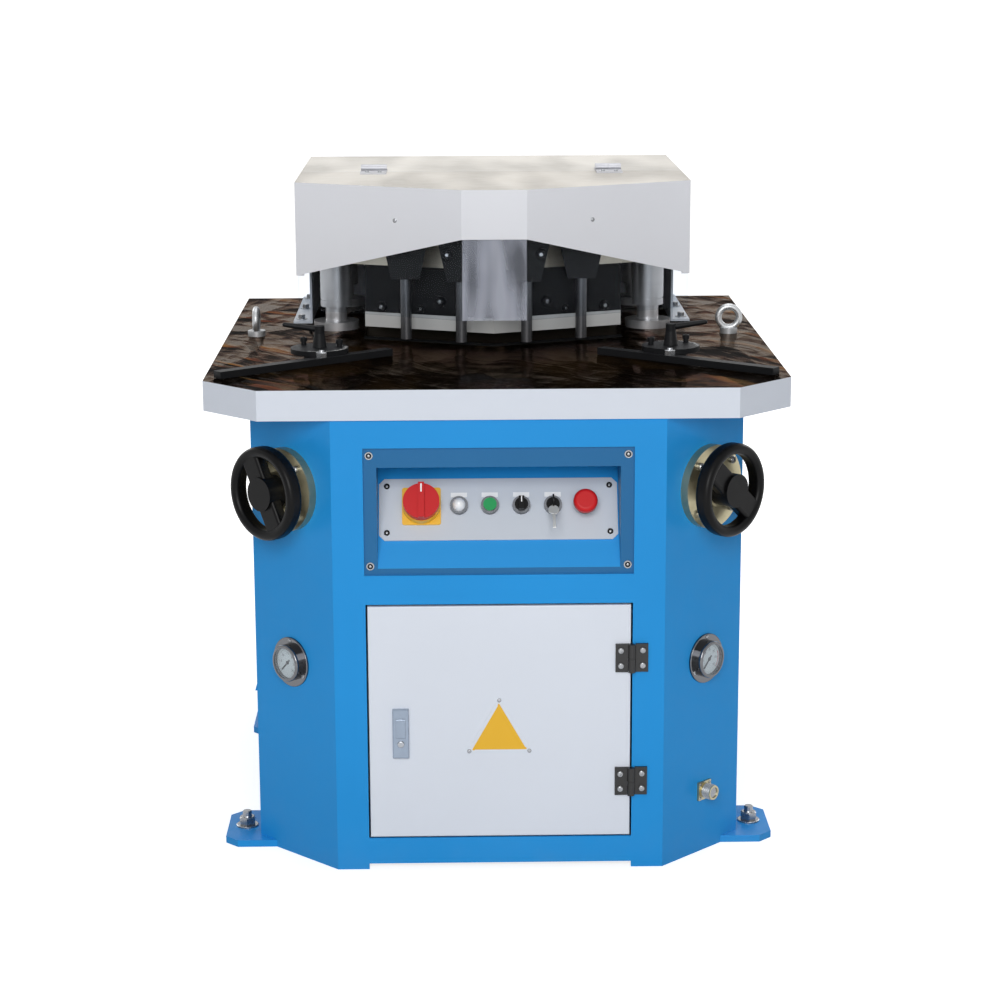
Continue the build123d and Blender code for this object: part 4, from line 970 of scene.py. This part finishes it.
class NOTCHER_OT_handwheels(bpy.types.Operator):
    """Finish the handwheels and their flanges and add the flange bolts"""

    bl_idname = "notcher.handwheels"
    bl_label = "Handwheels"

    def execute(self, context):
        paint_nodes(finish("black_moulding"), "left_handwheel", "right_handwheel")
        paint_nodes(finish("zinc_plating"), "wheel_flanges")
        circle, flange_top, bolt_radius = 0.057, 0.015, 0.0065
        places = []
        for side in (-1, 1):
            at = on_chamfer(side, WHEEL_HEIGHT)
            places += [at @ spin(angle) @ shift(circle, 0, flange_top) for angle in (45, 135, 225, 315)]
        add_screws("flange_bolts", "cabinet", places, fastener("cap_screw"), bolt_radius)
        return {"FINISHED"}


class NOTCHER_OT_gauges(bpy.types.Operator):
    """Finish the gauges and socket and add dials, marks, screws and the socket's thread"""

    bl_idname = "notcher.gauges"
    bl_label = "Gauges and socket"

    def execute(self, context):
        paint_nodes(finish("gauge_chrome"), "gauge_cases")
        paint_nodes(finish("zinc_plating"), "pedal_socket")
        paint_nodes(finish("dark_moulding"), "left_needle", "right_needle")
        paint_nodes(clear_material("gauge_glass", (0.9, 0.95, 1.0), 0.0), "gauge_glasses")
        dial_depth, dial_steps = 0.009, 48
        dial_rings = [(0.0263, -TINY), (0.0263, 0.00005), (0.026, 0.0001)]
        mark_radius, mark_rise, mark_top = 0.025, 0.0001, 0.00005
        long_mark, short_mark = (0.0007, 0.005), (0.0004, 0.003)
        figure_radius, figure_rise, figure_size = 0.0162, 0.00015, 0.0056
        arc_radius, arc_rise, arc_top, arc_start, arc_step = 0.0233, 0.00012, 0.00003, 22.5, 0.625
        arc_piece = rectangle(0.0026, 0.0014)
        flange_radius, flange_top, flange_screw = 0.037, 0.004, 0.0034
        screws = []
        for side, name in ((-1, "left"), (1, "right")):
            at = on_chamfer(side, GAUGE_HEIGHT) @ shift(0, 0, dial_depth)
            add_piece(
                f"{name}_dial", "cabinet", finish("dial_white"),
                lambda bm: ring_solid(bm, at, dial_rings, dial_steps),
            )

            def marks(bm):
                for number in range(31):
                    width, reach = short_mark if number % 5 else long_mark
                    turn = spin(DIAL_START - DIAL_SWEEP * number / 30)
                    where = at @ turn @ shift(0, mark_radius - reach / 2, mark_rise)
                    plate_solid(bm, where, rectangle(width, reach), -TINY / 4, mark_top)
                for number in range(7):
                    angle = math.radians(DIAL_START - DIAL_SWEEP * number / 6)
                    x, y = -figure_radius * math.sin(angle), figure_radius * math.cos(angle)
                    text_solid(bm, at @ shift(x, y, figure_rise), str(number * 5), figure_size)

            add_piece(f"{name}_dial_marks", "cabinet", finish("dial_ink"), marks)

            def warning_arc(bm):
                for number in range(12):
                    turn = spin(DIAL_START - DIAL_SWEEP * (arc_start + number * arc_step) / 30)
                    where = at @ turn @ shift(0, arc_radius, arc_rise)
                    plate_solid(bm, where, arc_piece, -TINY / 4, arc_top)

            add_piece(f"{name}_dial_arc", "cabinet", finish("dial_red"), warning_arc)
            flange = on_chamfer(side, GAUGE_HEIGHT)
            screws += [flange @ spin(angle) @ shift(flange_radius, 0, flange_top) for angle in (90, 210, 330)]
        add_screws("gauge_screws", "cabinet", screws, fastener("panel_screw"), flange_screw)

        socket = on_chamfer(1, SOCKET_HEIGHT)
        thread_start, thread_pitch, thread_root, thread_crest = 0.007, 0.0022, 0.0125, 0.0133
        pin_circle, pin_start = 0.0045, 0.006
        pin_rings = [(0.0012, -TINY), (0.0012, 0.011), (0.0008, 0.012)]
        insert_rings = [(0.0094, 0.006), (0.0094, 0.0095), (0.009, 0.01)]
        screw_place, screw_rise, screw_radius = 0.012, 0.004, 0.0024

        def thread(bm):
            for turn in range(7):
                low = thread_start + turn * thread_pitch
                ring_solid(bm, socket, [
                    (thread_root, low), (thread_crest, low + 0.0008), (thread_crest, low + 0.0012),
                    (thread_root, low + 0.002),
                ])

        add_piece("socket_thread", "cabinet", finish("screw_steel"), thread)

        def pins(bm):
            for angle in (45, 135, 225, 315):
                ring_solid(bm, socket @ spin(angle) @ shift(pin_circle, 0, pin_start), pin_rings, 12)

        add_piece("socket_pins", "cabinet", finish("zinc_plating"), pins)
        add_piece(
            "socket_insert", "cabinet", finish("dark_moulding"),
            lambda bm: ring_solid(bm, socket, insert_rings),
        )
        ends = (-screw_place, screw_place)
        places = [socket @ shift(x, y, screw_rise) for x in ends for y in ends]
        add_screws("socket_screws", "cabinet", places, fastener("panel_screw"), screw_radius)
        return {"FINISHED"}


class NOTCHER_OT_fences(bpy.types.Operator):
    """Finish the fences and add their base screws and scale marks"""

    bl_idname = "notcher.fences"
    bl_label = "Fences"

    def execute(self, context):
        paint_nodes(
            finish("oiled_black_steel"), "fence_bases", "left_fence", "right_fence", "left_clamp_lever",
            "right_clamp_lever",
        )
        low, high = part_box("fence_bases")
        stud_inset, lug_rise, scale_turn = 0.028, 0.021, 51.5
        lug_screws, lug_screw = ((0.029, 0.03), (-0.034, 0.004)), 0.0062
        long_mark, short_mark, mark_width, mark_top = 0.007, 0.0045, 0.0006, 0.0001
        scale_radius, scale_start, scale_step = 0.0485, -150, 5
        nut_inset, nut_front, nut_rise, nut_half = 0.006, 0.051, 0.0123, 0.009
        stud_x = high.x - stud_inset
        stud_y = (low.y + high.y) / 2
        top = TABLE_TOP + lug_rise
        for side, name in ((-1, "left"), (1, "right")):
            stud = Matrix.Translation((side * stud_x, stud_y, top))
            at = stud @ spin(90 + side * scale_turn)
            body = f"{name}_fence"
            places = [stud @ shift(side * x, y) for x, y in lug_screws]
            add_screws(f"{body}_screws", body, places, fence_screw, lug_screw, *BLACK)

            def scale_marks(bm):
                for number in range(25):
                    reach = short_mark if number % 4 else long_mark
                    turn = spin(scale_start + number * scale_step)
                    where = at @ turn @ shift(scale_radius - reach / 2, 0)
                    plate_solid(bm, where, rectangle(reach, mark_width), -TINY, mark_top)

            add_piece(f"{name}_scale_marks", body, finish("mark_white"), scale_marks)
            pointer = Matrix.Translation(
                (side * (stud_x - nut_inset), stud_y - nut_front, TABLE_TOP + nut_rise)
            )
            add_screws(f"{name}_pointer_nut", body, [pointer], fastener("pointer_nut"), nut_half)
        return {"FINISHED"}


def background_seen(tree):
    """1 where the background is looked at, straight on, in metal or through glass."""
    path = add_node(tree, "ShaderNodeLightPath").outputs
    mirrored = math_node(tree, "MAXIMUM", path["Is Glossy Ray"], path["Is Transmission Ray"])
    return math_node(tree, "MAXIMUM", path["Is Camera Ray"], mirrored)


class NOTCHER_OT_stage(bpy.types.Operator):
    """Set the floor, the lights, the background and the camera"""

    bl_idname = "notcher.stage"
    bl_label = "Stage"

    def execute(self, context):
        scene = context.scene
        stage = scene.notcher_stage
        reach = 120
        mesh = bpy.data.meshes.new("floor")
        bm = bmesh.new()
        bmesh.ops.create_grid(bm, x_segments=2, y_segments=2, size=reach)
        bm.to_mesh(mesh)
        bm.free()
        material, tree, shader = start_material("studio_floor")
        shader.inputs["Base Color"].default_value = (*stage.floor, 1)
        shader.inputs["Roughness"].default_value = 0.9
        shader.inputs["Specular IOR Level"].default_value = 0.0
        seen = background_seen(tree)
        place = coordinates(tree)
        away = add_node(tree, "ShaderNodeVectorMath", {0: place}, operation="LENGTH").outputs["Value"]
        lift = remap(tree, away, 0.9, 2.4, stage.glow, stage.far_glow)
        glow = add_node(tree, "ShaderNodeEmission", {"Strength": math_node(tree, "MULTIPLY", seen, lift)})
        both = add_node(tree, "ShaderNodeAddShader", {0: shader.outputs[0], 1: glow.outputs[0]})
        tree.links.new(both.outputs[0], tree.nodes["Material Output"].inputs["Surface"])
        mesh.materials.append(material)
        floor = bpy.data.objects.new("floor", mesh)
        scene.collection.objects.link(floor)

        world = bpy.data.worlds.new("studio")
        world.use_nodes = True
        tree = world.node_tree
        tree.nodes.clear()
        direction = coordinates(tree, "Generated")
        sideways = math_node(tree, "ABSOLUTE", axis_value(tree, direction, "X"))
        level = remap(tree, sideways, 0.2, 0.8, stage.sky, stage.sky * 0.15)
        even = add_node(tree, "ShaderNodeBackground", {"Color": (1, 1, 1, 1), "Strength": level})
        white = add_node(tree, "ShaderNodeBackground", {"Color": (1, 1, 1, 1), "Strength": 1.0})
        shares = {0: background_seen(tree), 1: even.outputs[0], 2: white.outputs[0]}
        mixed = add_node(tree, "ShaderNodeMixShader", shares)
        add_node(tree, "ShaderNodeOutputWorld", {"Surface": mixed.outputs[0]})
        scene.world = world

        aim = Vector((0, 0, 0.6))
        lamps = (
            ("key_lamp", (-0.5, -6.2, 3.2), 3.0, stage.key),
            ("fill_lamp", (0.9, -5.6, 1.6), 2.4, stage.key * 0.12),
            ("top_lamp", (0.3, 0.6, 4.6), 3.0, stage.key * 0.36),
            ("left_back_lamp", (-3.4, 4.2, 2.6), 2.0, stage.key * 0.24),
            ("right_back_lamp", (3.4, 4.2, 2.6), 2.0, stage.key * 0.24),
        )
        for name, place, size, power in lamps:
            light = bpy.data.lights.new(name, "AREA")
            light.size = size
            light.energy = power
            lamp = bpy.data.objects.new(name, light)
            lamp.location = place
            lamp.rotation_euler = (aim - Vector(place)).to_track_quat("-Z", "Y").to_euler()
            scene.collection.objects.link(lamp)

        camera = bpy.data.cameras.new("camera")
        camera.sensor_width = 36
        camera.lens = stage.lens
        camera.clip_end = 500
        view = bpy.data.objects.new("camera", camera)
        turn = (
            Matrix.Rotation(-stage.yaw, 4, "Z") @ Matrix.Rotation(math.pi / 2 - stage.pitch, 4, "X")
            @ Matrix.Rotation(stage.roll, 4, "Z")
        )
        view.matrix_world = Matrix.Translation(stage.eye) @ turn
        scene.collection.objects.link(view)
        scene.camera = view
        scene.view_settings.view_transform = "Standard"
        return {"FINISHED"}


class NOTCHER_PT_panel(bpy.types.Panel):
    """Lists the builders of the machine's looks."""

    bl_label = "Angle Notching Machine"
    bl_idname = "NOTCHER_PT_panel"
    bl_space_type = "VIEW_3D"
    bl_region_type = "UI"
    bl_category = "Notcher"

    def draw(self, context):
        for operator in operators:
            self.layout.operator(operator.bl_idname)
        for group in (getattr(context.scene, name) for name in groups):
            for name in group.bl_rna.properties.keys():
                if name not in ("rna_type", "name"):
                    self.layout.prop(group, name)


operators = (
    NOTCHER_OT_cabinet,
    NOTCHER_OT_table,
    NOTCHER_OT_press,
    NOTCHER_OT_hood,
    NOTCHER_OT_door,
    NOTCHER_OT_console,
    NOTCHER_OT_handwheels,
    NOTCHER_OT_gauges,
    NOTCHER_OT_fences,
    NOTCHER_OT_stage,
)
groups = {
    "notcher_finishes": NotcherFinishes,
    "notcher_fittings": NotcherFittings,
    "notcher_stage": NotcherStage,
}


def register():
    for cls in (*groups.values(), *operators, NOTCHER_PT_panel):
        bpy.utils.register_class(cls)
    for name, cls in groups.items():
        setattr(bpy.types.Scene, name, bpy.props.PointerProperty(type=cls))


def unregister():
    for name in groups:
        delattr(bpy.types.Scene, name)
    for cls in (NOTCHER_PT_panel, *reversed(operators), *reversed(groups.values())):
        bpy.utils.unregister_class(cls)


def main():
    """Build every piece in order."""
    register()
    bpy.ops.notcher.cabinet()
    bpy.ops.notcher.table()
    bpy.ops.notcher.press()
    bpy.ops.notcher.hood()
    bpy.ops.notcher.door()
    bpy.ops.notcher.console()
    bpy.ops.notcher.handwheels()
    bpy.ops.notcher.gauges()
    bpy.ops.notcher.fences()
    bpy.ops.notcher.stage()


if __name__ == "__main__":
    main()
